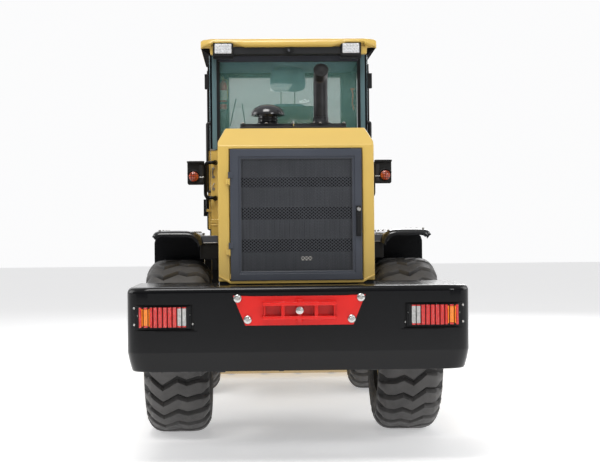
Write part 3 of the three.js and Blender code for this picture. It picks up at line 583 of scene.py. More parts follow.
def tyre(tag, sx, y, body):
    c = (sx * HT, y, AZ)
    prof = [(314, -150), (318, -168), (330, -182), (348, -190), (366, -206), (372, -214), (380, -214), (386, -216), (420, -229),
            (470, -238), (505, -241), (526, -241), (530, -243), (538, -243), (544, -240)] + [(base_r(a), -a) for a in (238, 228, 214, 200, 184, 166, 140, 110, 70, 30)]
    full = prof + [(base_r(0), 0)] + [(r, -h) for r, h in reversed(prof)]
    g = Geo().lathe(c, (sx, 0, 0), full, 96, 0, loop=False)
    g.f = g.f[:-2]
    g.m = g.m[:-2]
    g.make("tyre_carcass_" + tag, body, [RUBBER_PAINTED_SHADE], replaces=("tyre_" + tag,))
    n = 28
    t = Geo()
    us = sorted(set([-240, -233, -224, -212, -198, -182, -168, -140, -108, -90, -36, 46, 82, 125, 150, 168, 182, 198, 212, 224, 233, 240]) | set((-153, -76, -10, 100) if sx < 0 else (-124, -62, 10, 104, 176)))
    if sx > 0:
        zz = [(-240, -26), (-124, -14), (-62, 12), (10, -30), (104, 54), (176, 42), (240, 58)]
    else:
        zz = [(-240, 4), (-153, 14), (-76, -8), (-10, 22), (100, -50), (200, 40), (240, 50)]

    def wave(u):
        for (a, p), (b, q) in zip(zz, zz[1:]):
            if a <= u <= b:
                return p + (q - p) * (u - a) / (b - a)
        return 0

    for k in range(n):
        th = 2 * math.pi * k / n + (0.04 if y > 0 else 0)
        jit = random.uniform(-1.5, 1.5)
        vs, fs = [], []
        for u in us:
            ph = -(wave(u) + jit) / 650.0
            tr, br = top_r(u), base_r(u) - 4
            edge = min(1.0, max(0.62, (250 - abs(u)) / 60))
            wt, wb = 50 * edge, 60 * edge
            ch = 5
            for d, r in ((-wb, br), (-wt, tr - ch), (-wt + ch, tr), (wt - ch, tr), (wt, tr - ch), (wb, br)):
                a = th + ph + d / 650.0
                vs.append((c[0] + sx * u, c[1] + r * math.cos(a), c[2] + r * math.sin(a)))
        for j in range(len(us) - 1):
            for q in range(5):
                fs.append((j * 6 + q, j * 6 + q + 1, (j + 1) * 6 + q + 1, (j + 1) * 6 + q))
            fs.append((j * 6 + 5, j * 6, (j + 1) * 6, (j + 1) * 6 + 5))
        e = (len(us) - 1) * 6
        fs.append((5, 4, 3, 2, 1, 0))
        fs.append((e, e + 1, e + 2, e + 3, e + 4, e + 5))
        t.add(vs, fs)
    t.make("tyre_lugs_" + tag, body, [LUG_PAINTED_LIGHT])
    # rim
    r = Geo()
    h = 242
    rp = [(0, -30), (98, -30), (104, -24), (190, -40), (236, -66), (262, -120), (286, -152), (300, -166), (318, -170), (326, -176), (326, -182), (314, -186), (300, -184),
          (300, 150), (308, 152), (326, 170), (330, 178), (330, 186), (322, 190), (308, 186), (294, 172), (288, 150), (280, 140), (276, 100), (262, 52), (240, 82), (222, 88), (150, 88),
          (146, 92), (134, 116), (124, 124), (60, 126), (50, 124), (0, 124)]
    r.lathe(c, (sx, 0, 0), rp, 72, 0)
    r.make("rim_disc_" + tag, body, [YELLOW_F if y > 0 else YELLOW], replaces=("rim_" + tag,))
    b = Geo()
    for k in range(16):
        a = 2 * math.pi * k / 16
        b.bolt((c[0] + sx * 84, c[1] + 186 * math.cos(a), c[2] + 186 * math.sin(a)), (sx, 0, 0), 13, 18, 0)
    for k in range(8):
        a = 2 * math.pi * (k + .5) / 8
        b.bolt((c[0] + sx * 121, c[1] + 100 * math.cos(a), c[2] + 100 * math.sin(a)), (sx, 0, 0), 9, 10, 0)
    b.lathe((c[0] + sx * 118, c[1], c[2]), (sx, 0, 0), [(0, 0), (58, 0), (58, 12), (50, 20), (0, 22)], 40, 1)
    b.cyl((c[0] + sx * 70, c[1] + 250, c[2] + 30), (c[0] + sx * 128, c[1] + 256, c[2] + 34), 6, 10, 1)
    b.make("wheel_bolts_" + tag, body, [WORN, CAST])


for tag, sx, y in (("front_left", -1, AX_F), ("front_right", 1, AX_F), ("rear_left", -1, AX_R), ("rear_right", 1, AX_R)):
    tyre(tag, sx, y, "wheel_" + tag)

# ------------------------------------------------------------------ CAD nodes that stay, with finishes
dress("rear_frame", SATIN, 5)
dress("rear_axle", CAST, 5)
dress("front_axle", CAST, 5)
def cut_with(ob, cutter_geo):
    me = bpy.data.meshes.new("cutter")
    me.from_pydata([W(p) for p in cutter_geo.v], [], cutter_geo.f)
    c = bpy.data.objects.new("cutter", me)
    bpy.context.scene.collection.objects.link(c)
    b = ob.modifiers.new("cut", "BOOLEAN")
    b.operation = "DIFFERENCE"
    b.solver = "EXACT"
    b.object = c
    bpy.context.view_layer.update()
    dg = bpy.context.evaluated_depsgraph_get()
    new = bpy.data.meshes.new_from_object(ob.evaluated_get(dg))
    ob.modifiers.remove(b)
    old = ob.data
    ob.data = new
    bpy.data.meshes.remove(old)
    bpy.data.objects.remove(c)
    bpy.data.meshes.remove(me)


def counterweight():
    plan = fillet([(-1125, -2350, 0), (-1125, -3146, 0), (-1034, -3225, 0), (0, -3225, 0)], 78, 8)
    plan = [(x, y) for x, y, z in plan][:-1]
    plan = plan + [(-x, y) for x, y in reversed(plan)]
    lv = [(628, 32), (632, 28), (641, 24), (694, 11), (746, 1.5), (756, 0), (1140, 0), (1152, 1.5), (1163, 6), (1171, 13), (1177, 22), (1180, 36)]
    g = Geo()
    n = len(plan)
    cx, cy = 0, -2700
    for z, o in lv:
        for i, (x, y) in enumerate(plan):
            xx = x - math.copysign(o, x) * min(1, abs(x) / 1000)
            yy = y + o if y < -2800 else y - (o if o < 12 else 12)
            g.v.append((xx, yy, z))
    for j in range(len(lv) - 1):
        for i in range(n):
            a, b = j * n + i, j * n + (i + 1) % n
            g.f.append((a, b, b + n, a + n))
            g.m.append(0)
    g.f += [tuple(range(n - 1, -1, -1)), tuple((len(lv) - 1) * n + i for i in range(n))]
    g.m += [0, 0]
    ob = g.make("counterweight_casting", "rear_chassis", [CWM], bevel=0, replaces=("counterweight",))
    c = Geo()
    c.box(-410, 410, -2960, -2200, 500, 1300)
    c.box(683, 1200, -3330, -3190, 899, 1066)
    c.box(-1200, -683, -3330, -3190, 899, 1066)
    cut_with(ob, c)
    for p_ in ob.data.polygons:
        p_.use_smooth = True
    ob.data.set_sharp_from_angle(angle=math.radians(34))
    w = ob.modifiers.new("flat", "WEIGHTED_NORMAL")
    w.keep_sharp = True


counterweight()
dress("hitch_plate", RED, 4, 2)
dress("engine_block", CAST, 10, 3)
# radiator in the near-black material: painted shade behind the grille
dress("radiator", SHADE_BLACK, 5)
dress("engine_hood", YELLOW, 9, 3, 24)
dress("hood_door_left", YELLOW, 4)
dress("hood_door_right", YELLOW, 4)
dress("intake_cowl", PLASTIC, 8, 3)
dress("cab_base", YELLOW, 6, 2)
dress("cab_frame", BLACK, 7, 3)
dress("rear_window", GLASS, 0)
dress("windshield", GLASS, 0)
dress("door_glass_left", GLASS, 0)
dress("door_glass_right", GLASS, 0)
dress("cab_door_left", BLACK, 6, 3)
dress("cab_door_right", BLACK, 6, 3)
dress("steering_console", PLASTIC, 8, 3)
dress("front_frame", YELLOW_F, 6, 3)
dress("front_fender_left", BLACK, 7, 3)
dress("front_fender_right", BLACK, 7, 3)
dress("boom", YELLOW_F, 7, 3)
dress("bellcrank", YELLOW_F, 6, 3)
dress("bucket_link", YELLOW_F, 8, 3)
dress("bucket", YELLOW_F, 4, 2)
for n_ in ("bellcrank_pin", "bucket_pin", "link_pin"):
    dress(n_, WORN, 3)
for s_ in ("left", "right"):
    dress("lift_barrel_" + s_, SATIN, 3)
    dress("steer_barrel_" + s_, SATIN, 3)
    dress("lift_rod_" + s_, CHROME, 0)
    dress("steer_rod_" + s_, CHROME, 0)
dress("tilt_barrel", SATIN, 3)
dress("tilt_rod", CHROME, 0)

# ------------------------------------------------------------------ rear: grille door
GY0, GY1 = HOOD_R - 14, HOOD_R + 12
g = Geo()
fw_ = 62
X0, X1, Z0, Z1 = -448, 446, 1206, 2095
IX0, IX1, IZ0, IZ1 = -391, 397, 1252, 2046


def frame_ring(g, x0, x1, z0, z1, ix0, ix1, iz0, iz1, y0, y1, mi=0):
    vs = []
    for y in (y0, y1):
        vs += [(x0, y, z0), (x1, y, z0), (x1, y, z1), (x0, y, z1), (ix0, y, iz0), (ix1, y, iz0), (ix1, y, iz1), (ix0, y, iz1)]
    fs = []
    for k in range(4):
        j = (k + 1) % 4
        fs += [(k, j, 4 + j, 4 + k), (8 + k, 12 + k, 12 + j, 8 + j), (k, 8 + k, 8 + j, j), (4 + k, 4 + j, 12 + j, 12 + k)]
    g.add(vs, fs, mi)


frame_ring(g, X0, X1, Z0, Z1, IX0, IX1, IZ0, IZ1, GY0, GY1)
frame_ring(g, IX0 - 4, IX1 + 4, IZ0 - 4, IZ1 + 4, IX0 + 14, IX1 - 14, IZ0 + 14, IZ1 - 14, GY0 + 9, GY1 - 2)
g.make("grille_frame", "grille", [GRILLE], bevel=3, seg=3, replaces=("grille_door",))
# shadow gap between door frame and mesh panel
g = Geo()
frame_ring(g, IX0 + 13, IX1 - 13, IZ0 + 13, IZ1 - 13, IX0 + 19, IX1 - 19, IZ0 + 19, IZ1 - 19, GY0 + 13, GY1 - 6)
g.make("grille_trim", "grille", [MESH], bevel=1.5)


def mesh_panel(name, x0, x1, z0, z1, y, px, pz, fill, body, m, th=1.6):
    """Perforated sheet of staggered diamond holes, one connected lattice."""
    nx, nz = int(round((x1 - x0) / (px / 2))), int(round((z1 - z0) / (pz / 2)))
    dx, dz = (x1 - x0) / nx, (z1 - z0) / nz
    vid, vs, fs = {}, [], []

    def V(x, z, yy):
        k = (round(x, 2), round(z, 2), yy)
        if k not in vid:
            vid[k] = len(vs)
            vs.append((x, yy, z))
        return vid[k]

    ya, yb = y, y + th
    for i in range(nx + 1):
        for j in range(nz + 1):
            if (i + j) % 2:
                continue
            cx, cz = x0 + i * dx, z0 + j * dz
            if i in (0, nx) or j in (0, nz):
                continue
            c4 = [(cx + dx, cz), (cx, cz + dz), (cx - dx, cz), (cx, cz - dz)]
            h4 = [(cx + dx * fill, cz), (cx, cz + dz * fill), (cx - dx * fill, cz), (cx, cz - dz * fill)]
            for k in range(4):
                n2 = (k + 1) % 4
                a, b, c2, d = c4[k], c4[n2], h4[n2], h4[k]
                fs.append((V(*a, ya), V(*b, ya), V(*c2, ya), V(*d, ya)))
                fs.append((V(*d, yb), V(*c2, yb), V(*b, yb), V(*a, yb)))
                fs.append((V(*d, ya), V(*c2, ya), V(*c2, yb), V(*d, yb)))
    gg = Geo().add(vs, fs)
    return gg.make(name, body, [m], raw=False)


mesh_panel("grille_mesh", IX0 + 16, IX1 - 16, IZ0 + 16, IZ1 - 16, GY0 + 14, 25.0, 21.5, 0.72, "grille", MESH)
# lock, hinges on the door
g = Geo()
g.box(404, 438, GY0 - 20, GY0 + 3, 1500, 1706, 0)
g.box(407, 433, GY0 - 25, GY0 - 16, 1515, 1640, 0)
g.make("grille_lock_plate", "grille", [PLASTIC], bevel=5, seg=3)
g = Geo()
g.lathe((421, GY0 - 20, 1683), (0, -1, 0), [(0, 0), (15, 0), (15, 3), (12, 7), (5, 7), (5, 4), (0, 4)], 28)
g.make("grille_lock_barrel", "grille", [STEEL])
g = Geo()
for z in (1423, 1902):
    g.cyl((-453, GY0 - 2, z - 2), (-453, GY0 - 2, z + 40), 8, 18, 0)
    g.box(-453, -427, GY0 - 9, GY0 - 2, z + 2, z + 38, 0)
g.make("grille_hinge_leaf", "grille", [GRILLE], bevel=1.5)
g = Geo()
for z in (1423, 1902):
    g.cyl((-453, GY0 - 2, z - 50), (-453, GY0 - 2, z - 4), 4.2, 18, 0)
    g.box(-479, -464, GY0 - 8, GY0 + 12, z - 42, z - 6, 0)
    g.box(-466, -453, GY0 - 5, GY0 - 1, z - 40, z - 8, 0)
g.make("hood_hinge_leaf", "rear_chassis", [YELLOW], bevel=1.5)
# a small blank plate behind the mesh and the cooler's slats
g = Geo()
for z0, z1 in ((1906, 2050), (1702, 1838), (1484, 1620), (1262, 1396)):
    g.box(-398, 398, HOOD_R + 36, HOOD_R + 62, z0, z1, 0)
    for k in range(24):
        x = -392 + k * 34
        g.box(x, x + 5, HOOD_R + 30, HOOD_R + 37, z0 + 4, z1 - 4, 0)
g.box(-414, -398, HOOD_R + 30, HOOD_R + 110, 1240, 2060, 0)
g.box(398, 414, HOOD_R + 30, HOOD_R + 110, 1240, 2060, 0)
g.make("cooler_slats", "rear_chassis", [RFIN], bevel=1.2)
# near-black box: painted shade behind the cooler slats
g = Geo().box(-396, 396, HOOD_R + 100, HOOD_R + 106, 1242, 2058, 0)
g.make("cooler_shadow", "rear_chassis", [SHADE_BLACK], bevel=1)
g = Geo().box(30, 105, HOOD_R + 28, HOOD_R + 31, 1338, 1366, 0)
g.make("cooler_plate", "rear_chassis", [LABEL], bevel=0.8)
# lower lip of the hood under the door
g = Geo()
g.prism([(-530, 1242), (-453, 1204), (451, 1204), (530, 1242), (530, 1232), (449, 1186), (-451, 1186), (-530, 1232)], HOOD_R - 6, HOOD_R + 14, "y", 0)
g.make("hood_lip", "rear_chassis", [YELLOW], bevel=2)

# ------------------------------------------------------------------ rear: tail lamps
lamp_cols = ["ra", "a", "ar", "r", "r", "r", "r", "r", "w", "w"]
for sx, tag in ((-1, "left"), (1, "right")):
    g = Geo()
    g.box(700, 1074, -3206, -3194, 903, 1063, 0)
    g.box(712, 1050, -3214, -3204, 912, 1056, 0)
    if sx < 0:
        g.flip()
    g.make("tail_lamp_housing_" + tag, "rear_chassis", [PLASTIC], bevel=4, replaces=("tail_lamp_" + tag,))
    gr, ga, gw = Geo(), Geo(), Geo()
    x_out, pitch, w = 1041, 31.2, 25
    for k, c in enumerate(lamp_cols):
        xa = x_out - k * pitch - w
        xb = xa + w

        def bar(geo, x0, x1, z0, z1, y=-3224):
            n = 5
            prof = []
            for i in range(n + 1):
                t = i / n
                prof.append((x0 + (x1 - x0) * t, y - 5 * math.sin(math.pi * t) ** 0.6))
            pts = [(x1, -3210), (x0, -3210)] + prof
            geo.prism(pts, z0, z1, "z")
            for q in range(int((z1 - z0) / 9)):
                zz0 = z0 + 4 + q * 9
                geo.box(x0 + 4, x1 - 4, y - 7.2, y - 3, zz0, zz0 + 4)

        if c == "r":
            bar(gr, xa, xb, 920, 1050)
        elif c == "a":
            bar(ga, xa, xb, 934, 1038)
            bar(gr, xa, xb, 920, 933)
            bar(gr, xa, xb, 1039, 1050)
        elif c == "ra":
            bar(gr, xa + 8, xb, 920, 1050)
            bar(ga, xa, xa + 7.6, 928, 1042)
        elif c == "ar":
            bar(gr, xa, xb - 8, 920, 1050)
            bar(ga, xb - 7.6, xb, 928, 1042)
        else:
            bar(gw, xa, xb, 930, 1042)
            bar(gr, xa, xb, 920, 929)
            bar(gr, xa, xb, 1043, 1050)
    for geo, nm, mm in ((gr, "red", LRED), (ga, "amber", LORG), (gw, "clear", LCLR)):
        if sx < 0:
            geo.flip()
        geo.make("tail_lens_%s_%s" % (nm, tag), "rear_chassis", [mm], bevel=1.6, seg=2)
    g = Geo()
    for x, z in ((1092, 1046), (1092, 938), (1046, 997), (716, 1000), (693, 938)):
        xx = min(x, 1072)
        g.lathe((xx, -3206 if x < 1080 else -3207, z), (0, -1, 0), [(0, 0), (7, 0), (7, 3), (4, 6), (0, 6.5)], 14)
    if sx < 0:
        g.flip()
    g.make("tail_lamp_screws_" + tag, "rear_chassis", [STEEL])
    # thin pressed bead under the recess
    g = Geo()
    g.tube([(664, CW_Y - 1, 893), (900, CW_Y - 1, 893), (950, CW_Y + 2, 893), (1040, -3200, 893), (1098, -3150, 893)], 3.4, 8)
    if sx < 0:
        g.flip()
    g.make("counterweight_bead_" + tag, "rear_chassis", [BLACK])

# ------------------------------------------------------------------ rear: hitch plate bolts and gussets
HY = CW_Y - 0.3
g = Geo()
for x, z in ((-400, 1104), (401, 1104), (-336, 966), (340, 966)):
    g.disc_bolt((x, HY - 22, z), (0, -1, 0), 27, 15)
g.disc_bolt((0, -3325 + 16, 1026), (0, -1, 0), 26, 10)
g.make("hitch_bolts", "rear_chassis", [STEEL])
g = Geo()
for x in (-112, 112, -225, 225):
    g.prism([(HY - 22, 978), (HY - 22, 1070), (-3322 if abs(x) < 200 else -3300, 1066), (-3322 if abs(x) < 200 else -3300, 984)], x - 5, x + 5, "x")
g.box(-240, 240, -3325 + 2, HY - 20, 1060, 1077)
g.box(-240, 240, -3325 + 2, HY - 20, 971, 988)
g.make("hitch_gussets", "rear_chassis", [RED], bevel=2.5)
# weld beads round the hitch pockets
g = Geo()
for z in (1080, 1057, 991, 968):
    g.tube([(-240, HY - 23, z), (240, HY - 23, z)], 4.5, 8)
g.make("hitch_welds", "rear_chassis", [RED])

# ------------------------------------------------------------------ hood top: cowl, exhaust, precleaner
g = Geo()
path = fillet([(212, -2000, 2340), (212, -2000, 2665), (212, -2098, 2712)], 60, 8)
g.tube(path, 52, 36, 0)
g.f = g.f[:-1]
g.m = g.m[:-1]
end = [Vector(p) for p in path[-2:]]
d = (end[1] - end[0]).normalized()
# the pipe's lip and bore take the near-black material: painted shade down the bore
g.lathe(end[1] - d * 2, d, [(52, 0), (55, 2), (55, 7), (47, 7), (46, -60), (44, -110), (0, -111)], 36, 1)
g.lathe((212, -2000, 2323), (0, 0, 1), [(0, 0), (84, 0), (84, 8), (62, 16), (57, 34), (57, 52), (52, 54), (0, 54)], 36, 0)
g.make("exhaust_stack", "rear_chassis", [EXH, SHADE_BLACK], replaces=("exhaust_pipe",))
g = Geo()
for k in range(4):
    a = math.pi / 4 + k * math.pi / 2
    g.bolt((212 + 74 * math.cos(a), -2000 + 74 * math.sin(a), 2330), (0, 0, 1), 7, 8)
g.make("exhaust_base_bolts", "rear_chassis", [WORN])
g = Geo()
g.lathe((-178, -2000, 2323), (0, 0, 1), [(0, 0), (84, 0), (84, 10), (72, 16), (66, 22), (66, 72), (70, 76), (112, 66), (120, 66), (124, 70), (124, 82), (120, 92),
                                         (110, 110), (92, 126), (66, 139), (36, 147), (0, 150)], 48)
g.make("precleaner_dome", "rear_chassis", [PRE], replaces=("air_precleaner",))
g = Geo()
for k in range(12):
    a = 2 * math.pi * k / 12
    ca, sa = math.cos(a), math.sin(a)
    g.tube([(-178 + 66 * ca, -2000 + 66 * sa, 2342), (-178 + 70 * ca, -2000 + 70 * sa, 2342), (-178 + 70 * ca, -2000 + 70 * sa, 2386)], 2.4, 6)
g.lathe((-178, -2000, 2358), (0, 0, 1), [(66, 0), (71, 1), (71, 11), (66, 12)], 40)
g.make("precleaner_vanes", "rear_chassis", [PLASTIC])
g = Geo()
for x in (-360, -190, 0, 200, 372):
    g.bolt((x, -2150, 2321), (0, 0, 1), 9, 8)
    g.bolt((x, -1480, 2322), (0, 0, 1), 9, 8)
g.make("cowl_bolts", "rear_chassis", [WORN])
g = Geo()
g.tube(fillet([(5, -2184, 2300), (5, -2192, 2318), (5, -2178, 2334)], 6, 4), 5, 8)
g.make("cowl_latch", "rear_chassis", [STEEL])

# ------------------------------------------------------------------ cab roof
RW, RT, RR = 694, 3060, -1303
ROOF_PLAN = [(-RW, -1303), (-RW, -60), (-560, 210), (560, 210), (RW, -60), (RW, -1303)]


def inset_plan(pts, d):
    out = []
    for x, y in pts:
        out.append((x - math.copysign(d, x), y + (d if y < -600 else -d)))
    return out


def roof():
    pl = [(x, y) for x, y, z in fillet([(0, -1255, 0), (-RW, -1255, 0), (-RW, -60, 0), (-560, 210 - 3, 0), (0, 210 - 3, 0)], 70, 6)][1:-1]
    pl = pl + [(-x, y) for x, y in reversed(pl)]
    pl = [(x, max(y, -1255)) for x, y in pl]
    lv = [(2984, 10), (2987, 2), (2994, 0), (3026, 0), (3040, 5), (3051, 17), (3057, 36), (3060, 70)]
    n = len(pl)
    g = Geo()
    for z, o in lv:
        for x, y in pl:
            g.v.append((x - math.copysign(min(o, abs(x)), x), y + (min(o, 12) if y < -600 else -o) if y < 0 else y - o, z))
    for j in range(len(lv) - 1):
        for i in range(n):
            a, b = j * n + i, j * n + (i + 1) % n
            g.f.append((a, b, b + n, a + n))
            g.m.append(0)
    g.f += [tuple(range(n - 1, -1, -1)), tuple((len(lv) - 1) * n + i for i in range(n))]
    g.m += [0, 0]
    ob = g.make("roof_shell", "rear_chassis", [YELLOW], replaces=("cab_roof",))
    # rear lip: rolled yellow nose with the stepped lower edge over the lamps
    low = [(-704 + 12, 2976), (-672, 2990), (-612, 2998), (-598, 3018), (-455, 3020), (-438, 3012), (-345, 2990), (340, 2990), (432, 3012), (450, 3020), (590, 3018), (604, 2998), (672, 2990), (692, 2976)]
    nose = Geo()
    prof = [(0.0, -1256), (0.0, -1285), (0.10, -1296), (0.35, -1303), (0.70, -1298), (0.90, -1284), (1.0, -1258)]
    xs = []
    for (x0, z0), (x1, z1) in zip(low, low[1:]):
        k = max(1, int(abs(x1 - x0) / 40))
        for i in range(k):
            t = i / k
            xs.append((x0 + (x1 - x0) * t, z0 + (z1 - z0) * t))
    xs.append(low[-1])
    m = len(prof)
    for x, zl in xs:
        end = max(0.0, (abs(x) - 640) / 54.0)
        zt = 3058 - 22 * end ** 2
        for t, y in prof:
            nose.v.append((x, y + 26 * end ** 2 if y < -1258 else y, zl + (zt - zl) * t))
    for j in range(len(xs) - 1):
        for q in range(m - 1):
            a = j * m + q
            nose.f.append((a, a + m, a + m + 1, a + 1))
            nose.m.append(0)
        nose.f.append((j * m, j * m + m - 1, (j + 1) * m + m - 1, (j + 1) * m))
        nose.m.append(0)
    nose.f += [tuple(range(m)), tuple((len(xs) - 1) * m + q for q in range(m - 1, -1, -1))]
    nose.m += [0, 0]
    nose.make("roof_rear_lip", "rear_chassis", [YELLOW])
    # dark lower tray, tapering to the cab
    g = Geo()
    top = [(-689, -1250), (-689, -62), (-556, 203), (556, 203), (689, -62), (689, -1250)]
    bot = [(-632, -1176), (-632, -62), (-498, 120), (498, 120), (632, -62), (632, -1176)]
    for z, p_ in ((2946, bot), (2958, [(a[0] * .7 + b[0] * .3, a[1] * .7 + b[1] * .3) for a, b in zip(bot, top)]), (2979, top), (2983.4, top)):
        g.v += [(x, y, z) for x, y in p_]
    for j in range(3):
        for i in range(6):
            a, b = j * 6 + i, j * 6 + (i + 1) % 6
            g.f.append((a, b, b + 6, a + 6))
            g.m.append(0)
    g.f += [(5, 4, 3, 2, 1, 0), (18, 19, 20, 21, 22, 23)]
    g.m += [0, 0]
    g.make("roof_tray", "rear_chassis", [MATT], bevel=2, seg=2)
    # recessed band above the window
    g = Geo()
    g.box(-470, 470, -1268, -1200, 2936, 2994, 0)
    g.box(-560, 560, -1200, -1158, 2934, 2956, 0)
    g.make("roof_rear_band", "rear_chassis", [SATIN], bevel=5, seg=3)
    g = Geo()
    for sx in (-1, 1):
        g.prism([(sx * 560, 2936), (sx * 616, 2936), (sx * 622, 3000), (sx * 560, 3000)], -1262, -1190, "y")
    g.make("roof_corner_yellow", "rear_chassis", [YELLOW], bevel=5, seg=3)
    # two rear working lamps
    for sx, tag in ((-1, "left"), (1, "right")):
        xc = -516 if sx < 0 else 490
        h = Geo()
        h.box(xc - 78, xc + 80, -1296, -1218, 2916, 3024, 0)
        for k in range(6):
            h.box(xc - 60 + k * 22, xc - 52 + k * 22, -1222, -1204, 2935, 3012, 0)
        h.make("work_lamp_body_" + tag, "rear_chassis", [PLASTIC], bevel=7, seg=3)
        l = Geo()
        l.box(xc - 66, xc + 66, -1302, -1292, 2938, 3015, 0)
        l.make("work_lamp_lens_" + tag, "rear_chassis", [LED], bevel=5, seg=3)
        d = Geo()
        for i in range(5):
            for j in range(3):
                d.lathe((xc - 50 + i * 25, -1302.5, 2951 + j * 25), (0, -1, 0), [(0, 0), (9, 0), (7, 2.2), (4, 3), (0, 3.2)], 14, 0)
        d.make("work_lamp_cells_" + tag, "rear_chassis", [LED])
        b = Geo()
        b.box(xc - 80, xc + 80, -1262, -1240, 2900, 2918, 0)
        b.box(xc - 82, xc - 76, -1270, -1232, 2908, 2985, 0)
        b.box(xc + 76, xc + 82, -1270, -1232, 2908, 2985, 0)
        b.bolt((xc - 84, -1250, 2968), (-1, 0, 0), 7, 7)
        b.bolt((xc + 84, -1250, 2968), (1, 0, 0), 7, 7)
        b.bolt((xc, -1252, 2900), (0, 0, -1), 7, 7)
        b.make("work_lamp_bracket_" + tag, "rear_chassis", [SATIN], bevel=1.5)
    # rear camera in its round housing
    g = Geo()
    g.box(-40, 40, -1280, -1262, 2944, 2980, 0)
    g.lathe((0, -1278, 2961), (0, -1, 0), [(0, 0), (20, 0), (20, 12), (17, 16), (13, 17), (12, 12), (0, 12)], 28)
    g.bolt((-31, -1280, 2961), (0, -1, 0), 4, 4)
    g.bolt((31, -1280, 2961), (0, -1, 0), 4, 4)
    g.make("rear_camera", "rear_chassis", [PLASTIC], bevel=2)
    g = Geo()
    g.lathe((0, -1290, 2961), (0, -1, 0), [(0, 0), (11, 0), (10, 2.5), (5, 4.5), (0, 5)], 24)
    g.make("rear_camera_lens", "rear_chassis", [FRIT])
    # lifting eyes and roof ribs
    g = Geo()
    for sx in (-1, 1):
        for y in (-1120, 20):
            g.lathe((sx * 560, y, 3056), (0, 0, 1), [(0, 0), (16, 0), (16, 3.5), (0, 3.5)], 20)
    g.make("roof_plugs", "rear_chassis", [STEEL])
    g = Geo()
    for x in (-380, -190, 190, 380):
        g.prism([(-1080, x - 34), (20, x - 34), (20, x + 34), (-1080, x + 34)], 3054, 3059.5, "z")
        g.v = g.v[:-8] + [(b, a, c) for a, b, c in g.v[-8:]]
    g.make("roof_ribs", "rear_chassis", [YELLOW], bevel=2.4, seg=2)
    # headliner
    g = Geo().box(-585, 585, -1110, 60, 2936, 2943, 0)
    g.make("headliner", "rear_chassis", [SEATM], bevel=2)
    # front working lamps
    for sx, tag in ((-1, "left"), (1, "right")):
        for q, xo in ((0, 430), (1, 250)):
            xc = sx * xo
            h = Geo().box(xc - 66, xc + 66, 130, 196, 2905, 2978, 0)
            h.make("front_lamp_body_%s_%d" % (tag, q), "rear_chassis", [PLASTIC], bevel=7, seg=3)
            l = Geo().box(xc - 57, xc + 57, 194, 200, 2913, 2970, 0)
            l.make("front_lamp_lens_%s_%d" % (tag, q), "rear_chassis", [LED], bevel=3, seg=3)


roof()

